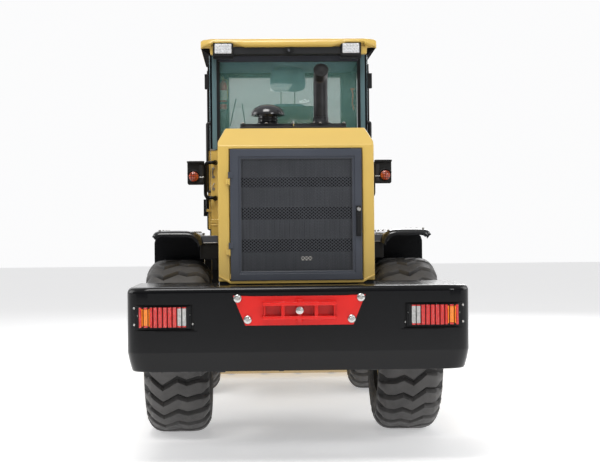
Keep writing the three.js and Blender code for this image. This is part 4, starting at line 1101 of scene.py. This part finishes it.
# ------------------------------------------------------------------ cab glass trims, corner glass, doors
g = Geo()
frame_ring(g, -566, 566, 2194, 2944, -548, 548, 2212, 2888, CAB_R - 5, CAB_R + 9)
g.make("rear_window_seal", "rear_chassis", [PLASTIC], bevel=2)
g = Geo().box(-556, 556, CAB_R - 8, CAB_R - 3, 2890, 2944, 0)
g.make("rear_window_frit", "rear_chassis", [FRIT], bevel=1.5)
for sx, tag in ((-1, "left"), (1, "right")):
    g = Geo()
    vs = []
    n = 10
    path = [(572, CAB_R - 7)] + [(585 + 47 * math.sin(math.pi / 2 * i / n), CAB_R + 40 - 47 * math.cos(math.pi / 2 * i / n)) for i in range(n + 1)] + [(632, CAB_R + 62)]
    inner = [(x - 4 if x > 600 else x, y + 4 if x < 620 else y) for x, y in path]
    m = len(path)
    for z in (2194, 2942):
        vs += [(x, y, z) for x, y in path] + [(x - 3.2, y + 3.2, z) for x, y in path]
    fs = []
    for i in range(m - 1):
        fs += [(i, i + 1, 2 * m + i + 1, 2 * m + i), (m + i, 3 * m + i, 3 * m + i + 1, m + i + 1), (i, m + i, m + i + 1, i + 1), (2 * m + i, 2 * m + i + 1, 3 * m + i + 1, 3 * m + i)]
    fs += [(0, 2 * m, 3 * m, m), (m - 1, 2 * m - 1, 4 * m - 1, 3 * m - 1)]
    g.add(vs, fs)
    if sx < 0:
        g.flip()
    g.make("corner_glass_" + tag, "rear_chassis", [GLASS_C])
    g = Geo()
    g.tube([(568, CAB_R - 8, 2194), (568, CAB_R - 8, 2942)], 5, 8)
    g.tube([(634, CAB_R + 62, 2194), (634, CAB_R + 62, 2942)], 4, 8)
    if sx < 0:
        g.flip()
    g.make("corner_seal_" + tag, "rear_chassis", [PLASTIC])
    # door: hinges, seal, handle, latch
    dx = 646
    body = "door_" + tag
    for z0, z1, mt, nm in ((2679, 2798, PLASTIC, "upper"), (1700, 1820, YELLOW, "lower")):
        g = Geo()
        g.cyl((656, -1085, z0 + 22), (656, -1085, z1 - 22), 11, 18)
        g.box(dx - 1, dx + 6, -1080, -1020, z0 + 24, z1 - 24, 0)
        g.bolt((dx + 6, -1040, z0 + 42), (1, 0, 0), 6, 5)
        g.bolt((dx + 6, -1040, z1 - 42), (1, 0, 0), 6, 5)
        if sx < 0:
            g.flip()
        g.make("door_hinge_%s_%s" % (nm, tag), body, [mt], bevel=2)
        g = Geo()
        if nm == "upper":
            g.box(CAB_W - 2, 669, -1118, -1100, z0, z1, 0)
        g.cyl((656, -1085, z0), (656, -1085, z0 + 20), 11, 18)
        g.cyl((656, -1085, z1 - 20), (656, -1085, z1), 11, 18)
        for za, zb in ((z0, z0 + 20), (z1 - 20, z1)):
            g.box(CAB_W - 2, 662, -1106, -1088, za, zb, 0)
        if sx < 0:
            g.flip()
        g.make("door_hinge_bracket_%s_%s" % (nm, tag), "rear_chassis", [mt], bevel=2)
    g = Geo()
    g.box(629.5, 647.5, -1087, -1083, 1562, 2188, 0)
    g.box(645, 648, -1084, -66, 1562, 1712, 0)
    g.box(648, 650, -1040, -110, 1600, 1606, 0)
    if sx < 0:
        g.flip()
    g.make("door_lower_skin_" + tag, body, [YELLOW], bevel=0.8, seg=2)
    g = Geo()
    wx, wy0, wy1, wz0, wz1 = 646, -1010, -135, 1720, 2830
    ring = [(wx + 1, wy0 - 6, wz0 - 6), (wx + 1, wy1 + 6, wz0 - 6), (wx + 1, wy1 + 6, wz1 + 6), (wx + 1, wy0 - 6, wz1 + 6), (wx + 1, wy0 - 6, wz0 - 6)]
    g.tube(fillet(ring[:2] + ring[2:], 40, 5), 7, 8)
    if sx < 0:
        g.flip()
    g.make("door_seal_" + tag, body, [PLASTIC])
    g = Geo()
    g.tube(fillet([(dx + 2, -170, 1560), (dx + 34, -170, 1560), (dx + 34, -170, 1690), (dx + 2, -170, 1690)], 18, 5), 8, 12)
    g.box(dx - 1, dx + 12, -215, -120, 1590, 1655, 0)
    g.lathe((dx + 12, -186, 1622), (1, 0, 0), [(0, 0), (13, 0), (13, 4), (9, 6), (0, 6)], 20)
    if sx < 0:
        g.flip()
    g.make("door_handle_" + tag, body, [PLASTIC], bevel=2)
    # handrail on the cab's rear corner
    g = Geo()
    g.tube(fillet([(CAB_W - 2, -1128, 2404), (651, -1128, 2404), (651, -1128, 1860), (CAB_W - 2, -1128, 1860)], 24, 6), 11, 14)
    for z in (2404, 1860):
        g.lathe((CAB_W, -1128, z), (1, 0, 0), [(0, 0), (17, 0), (17, 4), (9, 6), (0, 6)], 18)
    if sx < 0:
        g.flip()
    g.make("cab_corner_rail_" + tag, "rear_chassis", [SATIN])
    # swage and overhang along the foot of the cab's corner
    g = Geo()
    g.box(556, 628, -1153, -1120, 1606, 1640, 0)
    g.box(556, 629, -1154, -1120, 1586, 1600, 0)
    if sx < 0:
        g.flip()
    g.make("cab_corner_swage_" + tag, "rear_chassis", [YELLOW], bevel=4, seg=3)
    g = Geo()
    g.box(585, 631, -1155, -1080, 2186, 2198, 0)
    for z in (2040, 1975, 1880):
        g.bolt((604, -1152, z), (0, -1, 0), 8, 7)
    g.tube(fillet([(604, -1156, 2040), (612, -1166, 2010), (606, -1158, 1975)], 14, 4), 5, 8)
    g.tube(fillet([(604, -1156, 1880), (612, -1166, 1900), (598, -1158, 1925)], 14, 4), 4, 8)
    if sx < 0:
        g.flip()
    g.make("cab_corner_fixings_" + tag, "rear_chassis", [WORN])

# windscreen wiper, windscreen seal
g = Geo()
g.tube(fillet([(0, CAB_F + 2, 1800), (0, CAB_F + 22, 1815), (150, CAB_F + 16, 2320)], 20, 4), 6, 10)
g.tube([(50, CAB_F + 4, 2040), (170, CAB_F + 4, 2560)], 5, 8)
g.lathe((0, CAB_F - 4, 1800), (0, 1, 0), [(0, 0), (22, 0), (22, 8), (12, 18), (0, 18)], 24)
g.make("windscreen_wiper", "rear_chassis", [PLASTIC])
g = Geo()
frame_ring(g, -509, 509, 1746, 2912, -491, 491, 1764, 2896, CAB_F - 3, CAB_F + 5)
g.make("windscreen_seal", "rear_chassis", [PLASTIC], bevel=2)

# ------------------------------------------------------------------ cab inside
g = Geo()
g.box(-190, 190, -740, -360, 1502, 1560, 0)
for k in range(7):
    o = 6 if k % 2 else -8
    g.box(-168 - o, 168 + o, -718 - o, -382 + o, 1562 + k * 42, 1600 + k * 42, 1)
g.box(-210, 210, -770, -350, 1856, 1884, 0)
g.make("seat_base", "rear_chassis", [SATIN, PLASTIC], bevel=5, seg=2, replaces=("driver_seat",))


def pad(name, c, half, mt, k=0.30, seams=(), rot=0.0, taper=0.0):
    """Crowned cushion: a superellipsoid with its corners drawn in and sewn channels."""
    nu, nv = 44, 26
    g = Geo()
    hx, hy, hz = half
    vs = []
    rows = []

    def sp(v, e):
        return math.copysign(abs(v) ** e, v)

    for j in range(nv + 1):
        ph = -math.pi / 2 + math.pi * j / nv
        for i in range(nu):
            th = 2 * math.pi * i / nu
            x = sp(math.cos(ph), k) * sp(math.cos(th), k) * hx
            y = sp(math.cos(ph), k) * sp(math.sin(th), k) * hy
            z = sp(math.sin(ph), k) * hz
            crown = 1 + 0.10 * (1 - (x / hx) ** 2) * (1 - (z / hz) ** 2)
            y *= crown
            x *= 1 - taper * (z / hz)
            for s_ in seams:
                y -= math.copysign(9, y) * math.exp(-((x - s_ * hx) / 9) ** 2) * (1 if abs(y) > hy * 0.5 else 0)
            if rot:
                y, z = y * math.cos(rot) - z * math.sin(rot), y * math.sin(rot) + z * math.cos(rot)
            vs.append((c[0] + x, c[1] + y, c[2] + z))
    fs = []
    for j in range(nv):
        for i in range(nu):
            a, b = j * nu + i, j * nu + (i + 1) % nu
            fs.append((a, b, b + nu, a + nu))
    g.add(vs, fs)
    bmk = g.make(name, "rear_chassis", [mt])
    w = bmk.modifiers.new("weld", "WELD")
    w.merge_threshold = 0.0006
    bmk.data.set_sharp_from_angle(angle=math.radians(80))
    return bmk


pad("seat_cushion", (0, -560, 1935), (245, 225, 50), SEATM, 0.35)
pad("seat_backrest", (0, -845, 2262), (225, 48, 318), SEATM, 0.42, seams=(-0.55, 0.55), rot=0.105, taper=0.16)
pad("seat_headrest", (0, -893, 2776), (142, 44, 100), SEATM, 0.50, rot=0.05, taper=0.06)
g = Geo()
for x in (-56, 56):
    g.tube([(x, -884, 2540), (x, -893, 2720)], 6.5, 12)
g.make("headrest_posts", "rear_chassis", [STEEL])
g = Geo()
g.prism([(-900, 1910), (-892, 1910), (-948, 2552), (-956, 2552)], -205, 205, "x")
g.make("seat_back_cover", "rear_chassis", [PLASTIC], bevel=3, seg=2)
for sx in (-1, 1):
    g = Geo()
    g.box(sx * 262 - 28, sx * 262 + 28, -800, -470, 2130, 2172, 0)
    g.tube([(sx * 240, -800, 2140), (sx * 236, -826, 2060), (sx * 225, -830, 1960)], 14, 12)
    g.make("armrest_%s" % ("left" if sx < 0 else "right"), "rear_chassis", [PLASTIC], bevel=12, seg=3)
# instrument housing and dials, side consoles, levers, floor mat
g = Geo()
g.prism([(-150, 2010), (-70, 2010), (-20, 2085), (-40, 2110), (-120, 2085)], -130, 130, "x")
g.make("instrument_pod", "rear_chassis", [PLASTIC], bevel=6, seg=3)
g = Geo()
for k in range(3):
    g.lathe((-78 + k * 78, -128, 2060), (0, -0.85, 0.52), [(0, 0), (24, 0), (24, 4), (21, 6), (0, 6)], 24, 0)
g.make("instrument_dials", "rear_chassis", [FRIT])
g = Geo()
g.box(330, 470, -720, -360, 1502, 1980, 0)
g.box(-470, -330, -720, -360, 1502, 1900, 0)
g.make("side_consoles", "rear_chassis", [PLASTIC], bevel=14, seg=3)
g = Geo()
for k, x in enumerate((370, 410, 450)):
    g.tube([(x, -480, 1978), (x, -470, 2080)], 5, 10)
    g.lathe((x, -470, 2072), (0, 0.1, 1), [(0, 0), (10, 4), (16, 18), (15, 30), (8, 38), (0, 40)], 18)
g.make("work_levers", "rear_chassis", [PLASTIC])
g = Geo().box(-560, 560, -1080, 10, 1500.5, 1508, 0)
g.make("cab_floor_mat", "rear_chassis", [CARPET], bevel=2)
# fire extinguisher and hammer at the back corners
g = Geo()
ex, ey = -522, -1078
g.lathe((ex, ey, 2520), (0, 0, 1), [(0, 0), (26, 0), (30, 6), (30, 190), (27, 206), (16, 222), (12, 226), (12, 236), (0, 236)], 32, 0)
g.make("extinguisher_bottle", "rear_chassis", [XRED])
g = Geo()
g.lathe((ex, ey, 2590), (0, 0, 1), [(30, 0), (31, 1), (31, 78), (30, 79)], 32, 0)
g.make("extinguisher_band", "rear_chassis", [LABEL])
g = Geo()
g.box(ex - 10, ex + 10, ey - 30, ey + 12, 2752, 2764, 0)
g.box(ex - 9, ex + 9, ey - 34, ey + 8, 2768, 2776, 0)
g.cyl((ex, ey, 2750), (ex, ey, 2768), 9, 14, 0)
g.tube(fillet([(ex + 8, ey, 2758), (ex + 34, ey, 2752), (ex + 34, ey - 2, 2600)], 20, 5), 6, 10)
g.make("extinguisher_valve", "rear_chassis", [mat("brass_valve", (0.55, 0.42, 0.16), 0.3, metal=0.8, var=0.1, vscale=20, bump=0.1)], bevel=1.5)
g = Geo()
g.box(ex - 34, ex + 34, ey + 22, ey + 34, 2540, 2700, 0)
g.lathe((ex, ey, 2560), (0, 0, 1), [(30, 0), (33, 1), (33, 16), (30, 17)], 28, 0)
g.make("extinguisher_bracket", "rear_chassis", [PLASTIC], bevel=2)
g = Geo()
g.tube(fillet([(522, -1088, 2508), (512, -1092, 2560), (518, -1092, 2640), (508, -1090, 2672)], 18, 5), 6, 10)
g.box(498, 532, -1096, -1084, 2668, 2682, 0)
g.make("escape_hammer", "rear_chassis", [ORANGE], bevel=2)
# interior trim posts and gas struts seen through the glass
g = Geo()
g.tube([(-470, -1108, 2380), (-420, -1105, 2600)], 4, 8)
g.tube([(392, -1105, 2080), (432, -1108, 2500)], 4, 8)
g.tube([(-300, -1108, 2060), (-372, -1105, 2560)], 4, 8)
g.make("window_struts", "rear_chassis", [PLASTIC])

# ------------------------------------------------------------------ side lamps on their loops
for sx, tag in ((-1, "left"), (1, "right")):
    ry = CAB_R - 55
    g = Geo()
    g.tube(fillet([(590, CAB_R - 1, 2088), (590, ry, 2088), (667, ry, 2088), (667, ry, 1808), (590, ry, 1808), (590, CAB_R - 1, 1808)], 46, 8), 14, 18)
    for z in (2090, 1806):
        g.lathe((590, CAB_R - 1, z), (0, -1, 0), [(0, 0), (20, 0), (20, 5), (14, 7), (0, 7)], 20)
    if sx < 0:
        g.flip()
    g.make("side_rail_" + tag, "rear_chassis", [BLACK], replaces=("side_lamp_" + tag,))
    g = Geo()
    g.prism([(682, 1912), (800, 1912), (808, 1924), (808, 2092), (798, 2100), (682, 2100), (674, 2088), (674, 1924)], ry - 22, ry + 16, "y")
    g.prism([(674, 2080), (808, 2080), (812, 2098), (672, 2098)], ry - 44, ry - 18, "y")
    if sx < 0:
        g.flip()
    g.make("side_lamp_box_" + tag, "rear_chassis", [PLASTIC], bevel=5, seg=3)
    g = Geo()
    g.box(684, 712, ry - 27, ry - 20, 1930, 2070, 0)
    if sx < 0:
        g.flip()
    g.make("side_lamp_strip_" + tag, "rear_chassis", [SATIN], bevel=3, seg=2)
    c = (sx * 758, ry - 22, 1976)
    g = Geo()
    g.lathe(c, (0, -1, 0), [(0, 0), (44, 0), (44, 10), (40, 13), (0, 13)], 36)
    g.make("side_lamp_bezel_" + tag, "rear_chassis", [PLASTIC])
    g = Geo()
    g.lathe((c[0], c[1] - 10, c[2]), (0, -1, 0), [(0, 0), (39, 0), (38, 6), (31, 12), (18, 16), (0, 17.5)], 36)
    g.make("side_lamp_lens_" + tag, "rear_chassis", [LAMB])
    g = Geo()
    for k in (-18, 0, 18):
        q = math.sqrt(39 * 39 - k * k) - 3
        g.tube([(c[0] - q, c[1] - 20, c[2] + k), (c[0], c[1] - 28, c[2] + k), (c[0] + q, c[1] - 20, c[2] + k)], 1.8, 6)
        g.tube([(c[0] + k, c[1] - 20, c[2] - q), (c[0] + k, c[1] - 28, c[2]), (c[0] + k, c[1] - 20, c[2] + q)], 1.8, 6)
    g.tube([(c[0] + 52 * math.cos(math.radians(a)), c[1] - 16, c[2] + 50 * math.sin(math.radians(a))) for a in range(24, 157, 12)], 5, 8)
    g.make("side_lamp_guard_" + tag, "rear_chassis", [PLASTIC])
    g = Geo()
    g.box(676, 716, ry - 34, ry - 24, 1966, 1974, 0)
    if sx < 0:
        g.flip()
    g.make("side_lamp_clip_" + tag, "rear_chassis", [STEEL], bevel=1.5)

# ------------------------------------------------------------------ rear fenders
for sx, tag in ((-1, "left"), (1, "right")):
    sec = [(668, 1455), (672, 1474), (680, 1492), (690, 1507), (704, 1520), (722, 1532), (742, 1540), (764, 1546), (790, 1549), (860, 1551), (930, 1551), (1000, 1549), (1022, 1546), (1036, 1540), (1048, 1528), (1056, 1510)]
    cx, cz = 870, 1300
    ys = [(-1750, 38), (-1749, 30), (-1745, 22), (-1737, 14), (-1724, 7.5), (-1706, 3), (-1684, 0.8), (-1664, 0), (-1500, 0), (-1200, 0), (-900, 0), (-470, 0), (-456, 2), (-450, 6)]
    g = Geo()
    n, m = len(ys), len(sec)
    vs = []
    for lay in (0, 1):
        for y, o in ys:
            for x, z in sec:
                dx_, dz_ = cx - x, cz - z
                L = math.hypot(dx_, dz_)
                k = o + (13 if lay else 0)
                vs.append((x + dx_ / L * k, y, z + dz_ / L * k))
    fs = []
    for lay in (0, 1):
        o = lay * n * m
        for i in range(n - 1):
            for j in range(m - 1):
                a = o + i * m + j
                fs.append((a, a + 1, a + m + 1, a + m))
    B = n * m
    for i in range(n - 1):
        for j in (0, m - 1):
            a = i * m + j
            fs.append((a, a + m, a + m + B, a + B))
    for j in range(m - 1):
        for i in (0, n - 1):
            a = i * m + j
            fs.append((a, a + 1, a + 1 + B, a + B))
    g.add(vs, fs)
    if sx < 0:
        g.flip()
    g.make("rear_fender_skin_" + tag, "rear_chassis", [FEND], replaces=("rear_fender_" + tag,))
    # rolled edge at the back and the front apron
    g = Geo()
    g.tube([(cx + (x - cx) * 0.80, -1744, cz + (z - cz) * 0.825) for x, z in sec[2:-1]], 6, 10)
    g.tube([(1046, y, 1506) for y in (-1744, -1400, -1000, -456)], 7, 10)
    if sx < 0:
        g.flip()
    g.make("fender_bead_" + tag, "rear_chassis", [BLACK])
    g = Geo()
    g.prism([(697, 1080), (1106, 1080), (1106, 1452), (1096, 1486), (1070, 1512), (1034, 1530), (744, 1530), (704, 1508), (697, 1490)], -735, -717, "y")
    g.box(760, 1030, -743, -735, 1180, 1196, 0)
    g.box(760, 1030, -743, -735, 1360, 1376, 0)
    for z in (1120, 1280, 1440):
        for x in (720, 1082):
            g.bolt((x, -735, z), (0, -1, 0), 8, 7)
    if sx < 0:
        g.flip()
    g.make("fender_apron_" + tag, "rear_chassis", [BLACK], bevel=4, seg=3)
    g = Geo()
    for y in (-1690, -1250, -840, -500):
        g.bolt((735, y, 1536), (-0.3, 0, 1), 8, 7)
        g.bolt((1000, y, 1549), (0, 0, 1), 8, 7)
    if sx < 0:
        g.flip()
    g.make("fender_bolts_" + tag, "rear_chassis", [WORN])
    g = Geo()
    g.box(560, 696, -1688, -1165, 1332, 1452, 0)
    g.box(634, 696, -1165, -452, 1332, 1452, 0)
    for k in range(3):
        g.box(610 + k * 30, 626 + k * 30, -1692, -1686, 1432, 1444, 0)
    g.prism([(-1686, 1332), (-1640, 1250), (-1500, 1250), (-1400, 1332)], 566, 600, "x")
    if sx < 0:
        g.flip()
    g.make("deck_box_" + tag, "rear_chassis", [PLASTIC], bevel=5, seg=3)
    g = Geo()
    g.prism([(-1694, 1454), (-1690, 1460), (-1682, 1509), (-1166, 1509), (-1166, 1454)], 562, 700, "x")
    g.box(634, 700, -1165, -452, 1454, 1509, 0)
    if sx < 0:
        g.flip()
    g.make("deck_top_" + tag, "rear_chassis", [GRILLE], bevel=4, seg=3)
    g = Geo()
    for i in range(9):
        for j in range(2):
            g.lathe((590 + j * 50, -1650 + i * 55, 1508), (0, 0, 1), [(0, 0), (12, 0), (9, 3), (0, 3.4)], 14)
    g.tube([(564, -1696, 1456), (698, -1696, 1456)], 3.5, 8)
    if sx < 0:
        g.flip()
    g.make("deck_tread_" + tag, "rear_chassis", [WORN])
    # access ladder
    g = Geo()
    g.prism([(-650, 430), (-450, 430), (-450, 1530), (-650, 1530)], 700, 712, "x")
    g.prism([(-650, 430), (-450, 430), (-450, 1530), (-650, 1530)], 948, 960, "x")
    for z in (430, 790, 1150):
        g.box(712, 948, -640, -634, z, z + 30, 0)
        g.box(712, 948, -466, -460, z, z + 30, 0)
        for k in range(5):
            g.box(712, 948, -626 + k * 36, -620 + k * 36, z + 4, z + 26, 0)
    if sx < 0:
        g.flip()
    g.make("ladder_" + tag, "rear_chassis", [SATIN], bevel=2)
    g = Geo()
    for z in (430, 790, 1150):
        for k in range(7):
            g.prism([(-640, z + 27), (-636, z + 34), (-632, z + 27)], 728 + k * 32, 744 + k * 32, "x")
            g.prism([(-470, z + 27), (-466, z + 34), (-462, z + 27)], 728 + k * 32, 744 + k * 32, "x")
    if sx < 0:
        g.flip()
    g.make("ladder_teeth_" + tag, "rear_chassis", [WORN])
    # hood door louvres, handle, hinges
    body = "hood_side_" + tag
    g = Geo()
    for i in range(3):
        for k in range(9):
            z = 1650 + k * 36
            y0 = -2480 + i * 330
            g.prism([(z, 530), (z + 5, 541), (z + 20, 541), (z + 24, 530)], y0, y0 + 240, "z")
            o = len(g.v) - 8
            g.v[o:] = [(b, c, a) for a, b, c in g.v[o:]]
    if sx < 0:
        g.flip()
    g.make("hood_louvres_" + tag, body, [YELLOW], bevel=1.5)
    g = Geo()
    g.box(530, 536, -2110, -1990, 1575, 1625, 0)
    g.box(536, 546, -2095, -2005, 1588, 1612, 0)
    if sx < 0:
        g.flip()
    g.make("hood_latch_" + tag, body, [PLASTIC], bevel=3)
    g = Geo()
    for y in (-2420, -1560):
        g.cyl((534, y - 40, 2066), (534, y + 40, 2066), 6, 12)
    if sx < 0:
        g.flip()
    g.make("hood_hinges_" + tag, "rear_chassis", [PLASTIC])

# engine dressing seen with the side doors open
g = Geo()
g.box(-200, 200, -2380, -1560, 1702, 1760, 0)
for k in range(6):
    y = -2330 + k * 130
    g.box(-150, 150, y, y + 86, 1760, 1800, 0)
g.make("engine_covers", "rear_chassis", [CAST], bevel=8, seg=3)
g = Geo()
g.lathe((-330, -2200, 1860), (0, 1, 0), [(0, 0), (120, 0), (128, 10), (128, 420), (118, 436), (0, 440)], 36)
g.make("air_filter_can", "rear_chassis", [PLASTIC])
g = Geo()
g.tube(fillet([(-240, -1760, 1860), (-120, -1700, 1900), (60, -1700, 1880), (160, -1700, 1800)], 70, 6), 52, 20)
g.make("intake_hose", "rear_chassis", [HOSE])
g = Geo()
g.lathe((250, -2460, 1890), (0, 1, 0), [(0, 0), (100, 0), (112, 12), (112, 520), (100, 536), (0, 540)], 36)
g.cyl((212, -2000, 1960), (212, -2000, 2210), 48, 24)
g.make("silencer_can", "rear_chassis", [WORN])
g = Geo()
for sx in (-1, 1):
    for k in range(5):
        g.cyl((sx * 258, -2250 + k * 150, 1280), (sx * 300, -2250 + k * 150, 1280), 34, 20)
g.make("engine_filters", "rear_chassis", [YELLOW])

# ------------------------------------------------------------------ front: boom, bucket, cylinders, fenders
g = Geo()
g.box(-1236, 1236, 3290, 3497, 45, 50, 0)
for k in range(10):
    x = -1100 + k * 244.4
    g.lathe((x, 3380, 50), (0, 0, 1), [(0, 0), (22, 0), (22, 5), (13, 8), (13, 4), (0, 4)], 20, 0)
g.make("bucket_cutting_edge", "bucket", [WORN], bevel=1.5)
g = Geo()
for x in (-1100, -820, -540, -180, 180, 540, 820, 1100):
    g.prism([(2820, 8), (3440, 8), (3440, 15), (2820, 15)], x - 30, x + 30, "x")
g.v = [(x, y, z + 7) for x, y, z in g.v]
g.make("bucket_skids", "bucket", [WORN])
g = Geo()
for sx in (-1, 1):
    g.prism([(2690, 1060), (2790, 1085), (3370, 340), (3420, 60), (3340, 60), (3290, 310), (2760, 1000)], sx * 1240 - (9 if sx > 0 else 0), sx * 1240 + (9 if sx < 0 else 0), "x")
g.v = [(x * 1.0065, y, z) for x, y, z in g.v]
g.make("bucket_side_cutters", "bucket", [WORN], bevel=2)
g = Geo()
for x in (-900, -600, 600, 900):
    g.prism([(2504, 260), (2540, 460), (2612, 620), (2676, 860), (2712, 1030), (2690, 1034), (2640, 868), (2575, 630), (2505, 470), (2478, 270)], x - 9, x + 9, "x")
g.box(-1230, 1230, 2702, 2716, 1048, 1100, 0)
g.make("bucket_back_ribs", "bucket", [YELLOW_F], bevel=3)


def cap(g, x, p, r, sx):
    g.lathe((x, p[0], p[1]), (sx, 0, 0), [(0, 0), (r * 1.35, 0), (r * 1.35, 6), (r * 1.2, 9), (r, 10), (0, 10)], 30)
    g.bolt((x + sx * 9, p[0] + r * 0.55, p[1]), (sx, 0, 0), 7, 7)
    g.bolt((x + sx * 9, p[0] - r * 0.55, p[1]), (sx, 0, 0), 7, 7)
    g.lathe((x + sx * 9, p[0], p[1]), (sx, 0, 0), [(0, 0), (5, 0), (4, 8), (2, 10), (0, 10)], 10)


g = Geo()
for sx in (-1, 1):
    cap(g, sx * 474, A_, 45, sx)
g.make("boom_pivot_caps", "front_chassis", [WORN])
g = Geo()
for sx in (-1, 1):
    cap(g, sx * 418, P_, 36, sx)
g.make("bellcrank_caps", "bellcrank_pins", [WORN])
g = Geo()
for sx in (-1, 1):
    cap(g, sx * 438, G_, 32, sx)
g.make("bucket_pin_caps", "bucket_pins", [WORN])
# hard lines along the boom and the barrels
g = Geo()
for sx in (-1, 1):
    for o in (0, 22):
        g.tube(fillet([(sx * 322, 700 + o, 1880), (sx * 322, 985 + o, 1716), (sx * 322, 1280 + o, 1500), (sx * 322, 1500 + o, 1360)], 60, 5), 8, 10)
    for y, z in ((820, 1815), (1140, 1605), (1420, 1415)):
        g.box(sx * 330 - 14, sx * 330 + 14, y - 4, y + 46, z - 18, z - 8, 0)
g.make("boom_hard_lines", "boom", [SATIN])


def barrel_trim(name, body, a, b, r, end, across):
    va, vb = Vector(a), Vector(b)
    u = (vb - va).normalized()
    at = lambda s_: va + u * s_
    g = Geo()
    g.lathe(at(end - 40), u, [(r, 0), (r + 9, 1), (r + 9, 38), (r + 5, 42), (r - 8, 42)], 32)
    g.lathe(at(end - 60), u, [(r, 0), (r + 4, 1), (r + 4, 14), (r, 15)], 32)
    g.make(name + "_gland", body, [SATIN])
    g = Geo()
    side = Vector(across)
    n = u.cross(side).normalized()
    if n.z < 0:
        n = -n
    p0, p1 = at(end - 75) + n * (r + 4), at(end * 0.30) + n * (r + 4)
    g.tube(fillet([tuple(p0), tuple(p0 + n * 14), tuple(p1 + n * 14), tuple(p1)], 12, 4), 7, 10)
    for s_ in (0.45, 0.75):
        q = at(end * s_) + n * (r + 10)
        g.tube([tuple(q - side * 12), tuple(q + side * 12)], 9, 8)
    g.make(name + "_line", body, [SATIN])


LB, LE = (380, 640), (1266, 1355)
for sx, tag in ((-1, "left"), (1, "right")):
    barrel_trim("lift_%s" % tag, "lift_barrel_" + tag, (sx * 245, *LB), (sx * 245, *LE), 62, 1010, (1, 0, 0))
    barrel_trim("steer_%s" % tag, "steer_barrel_" + tag, (sx * 480, -750, 700), (sx * 430, 330, 700), 42, 700, (sx * 1.0, 0, 0))
barrel_trim("tilt", "tilt_barrel", (0, 640, 1640), (0, 1785, 942), 72, 900, (1, 0, 0))
# front frame bolts, axle bolts
g = Geo()
for sx in (-1, 1):
    for y, z in ((1240, 930), (1240, 990), (1610, 930), (1610, 870), (880, 1650), (600, 1500), (560, 1100)):
        g.bolt((sx * 455, y, z), (sx, 0, 0), 15, 12)
g.make("front_frame_bolts", "front_chassis", [WORN])
for nm, y, body in (("front", AX_F, "front_chassis"), ("rear", AX_R, "rear_chassis")):
    g = Geo()
    for sx in (-1, 1):
        for k in range(10):
            a = 2 * math.pi * k / 10
            g.bolt((sx * 522, y + 140 * math.cos(a), AZ + 140 * math.sin(a)), (-sx, 0, 0), 10, 9)
        g.lathe((sx * 300, y, AZ), (sx, 0, 0), [(88, 0), (112, 6), (118, 30), (112, 54), (88, 60)], 32)
    g.lathe((0, y - 228, AZ), (0, -1, 0), [(0, 0), (70, 0), (70, 10), (40, 14), (0, 14)], 28)
    for k in range(10):
        a = 2 * math.pi * k / 10
        g.bolt((180 if k % 2 else -180, y + 150 * math.cos(a), AZ + 150 * math.sin(a)), (1 if k % 2 else -1, 0, 0), 9, 8)
    g.make("axle_hardware_" + nm, body, [CAST])
# headlamps on the front fenders
for sx, tag in ((-1, "left"), (1, "right")):
    g = Geo()
    g.lathe((sx * 640, 1180, 1770), (0, 1, 0.02), [(0, 0), (52, 0), (52, 5), (46, 12), (28, 17), (0, 18)], 36, 0)
    g.make("headlamp_lens_" + tag, "front_chassis", [LCLR])
    g = Geo()
    g.lathe((sx * 640, 1178, 1770), (0, 1, 0.02), [(52, 0), (60, 1), (60, 9), (52, 10)], 36, 0)
    g.make("headlamp_rim_" + tag, "front_chassis", [STEEL])
    g = Geo()
    g.box(sx * 722 - 26, sx * 722 + 26, 1178, 1192, 1735, 1805, 0)
    g.make("front_indicator_" + tag, "front_chassis", [LAMB], bevel=5, seg=3)
# counterweight underside: lugs and guard seen low down
g = Geo()
g.prism([(-549, 640), (-478, 640), (-484, 612), (-492, 608), (-545, 608)], -3060, -2900, "y")
g.box(-133, -99, -3080, -3000, 613, 640, 0)
g.prism([(-40, 640), (4, 640), (-12, 616), (-22, 614)], -3060, -3000, "y")
g.box(478, 549, -3060, -2900, 612, 640, 0)
g.make("underside_lugs", "rear_chassis", [SATIN], bevel=5, seg=2)
g = Geo().box(-526, 526, -2802, -2740, 1156, 1199, 0)
g.make("hood_sill", "rear_chassis", [SATIN], bevel=4, seg=2)
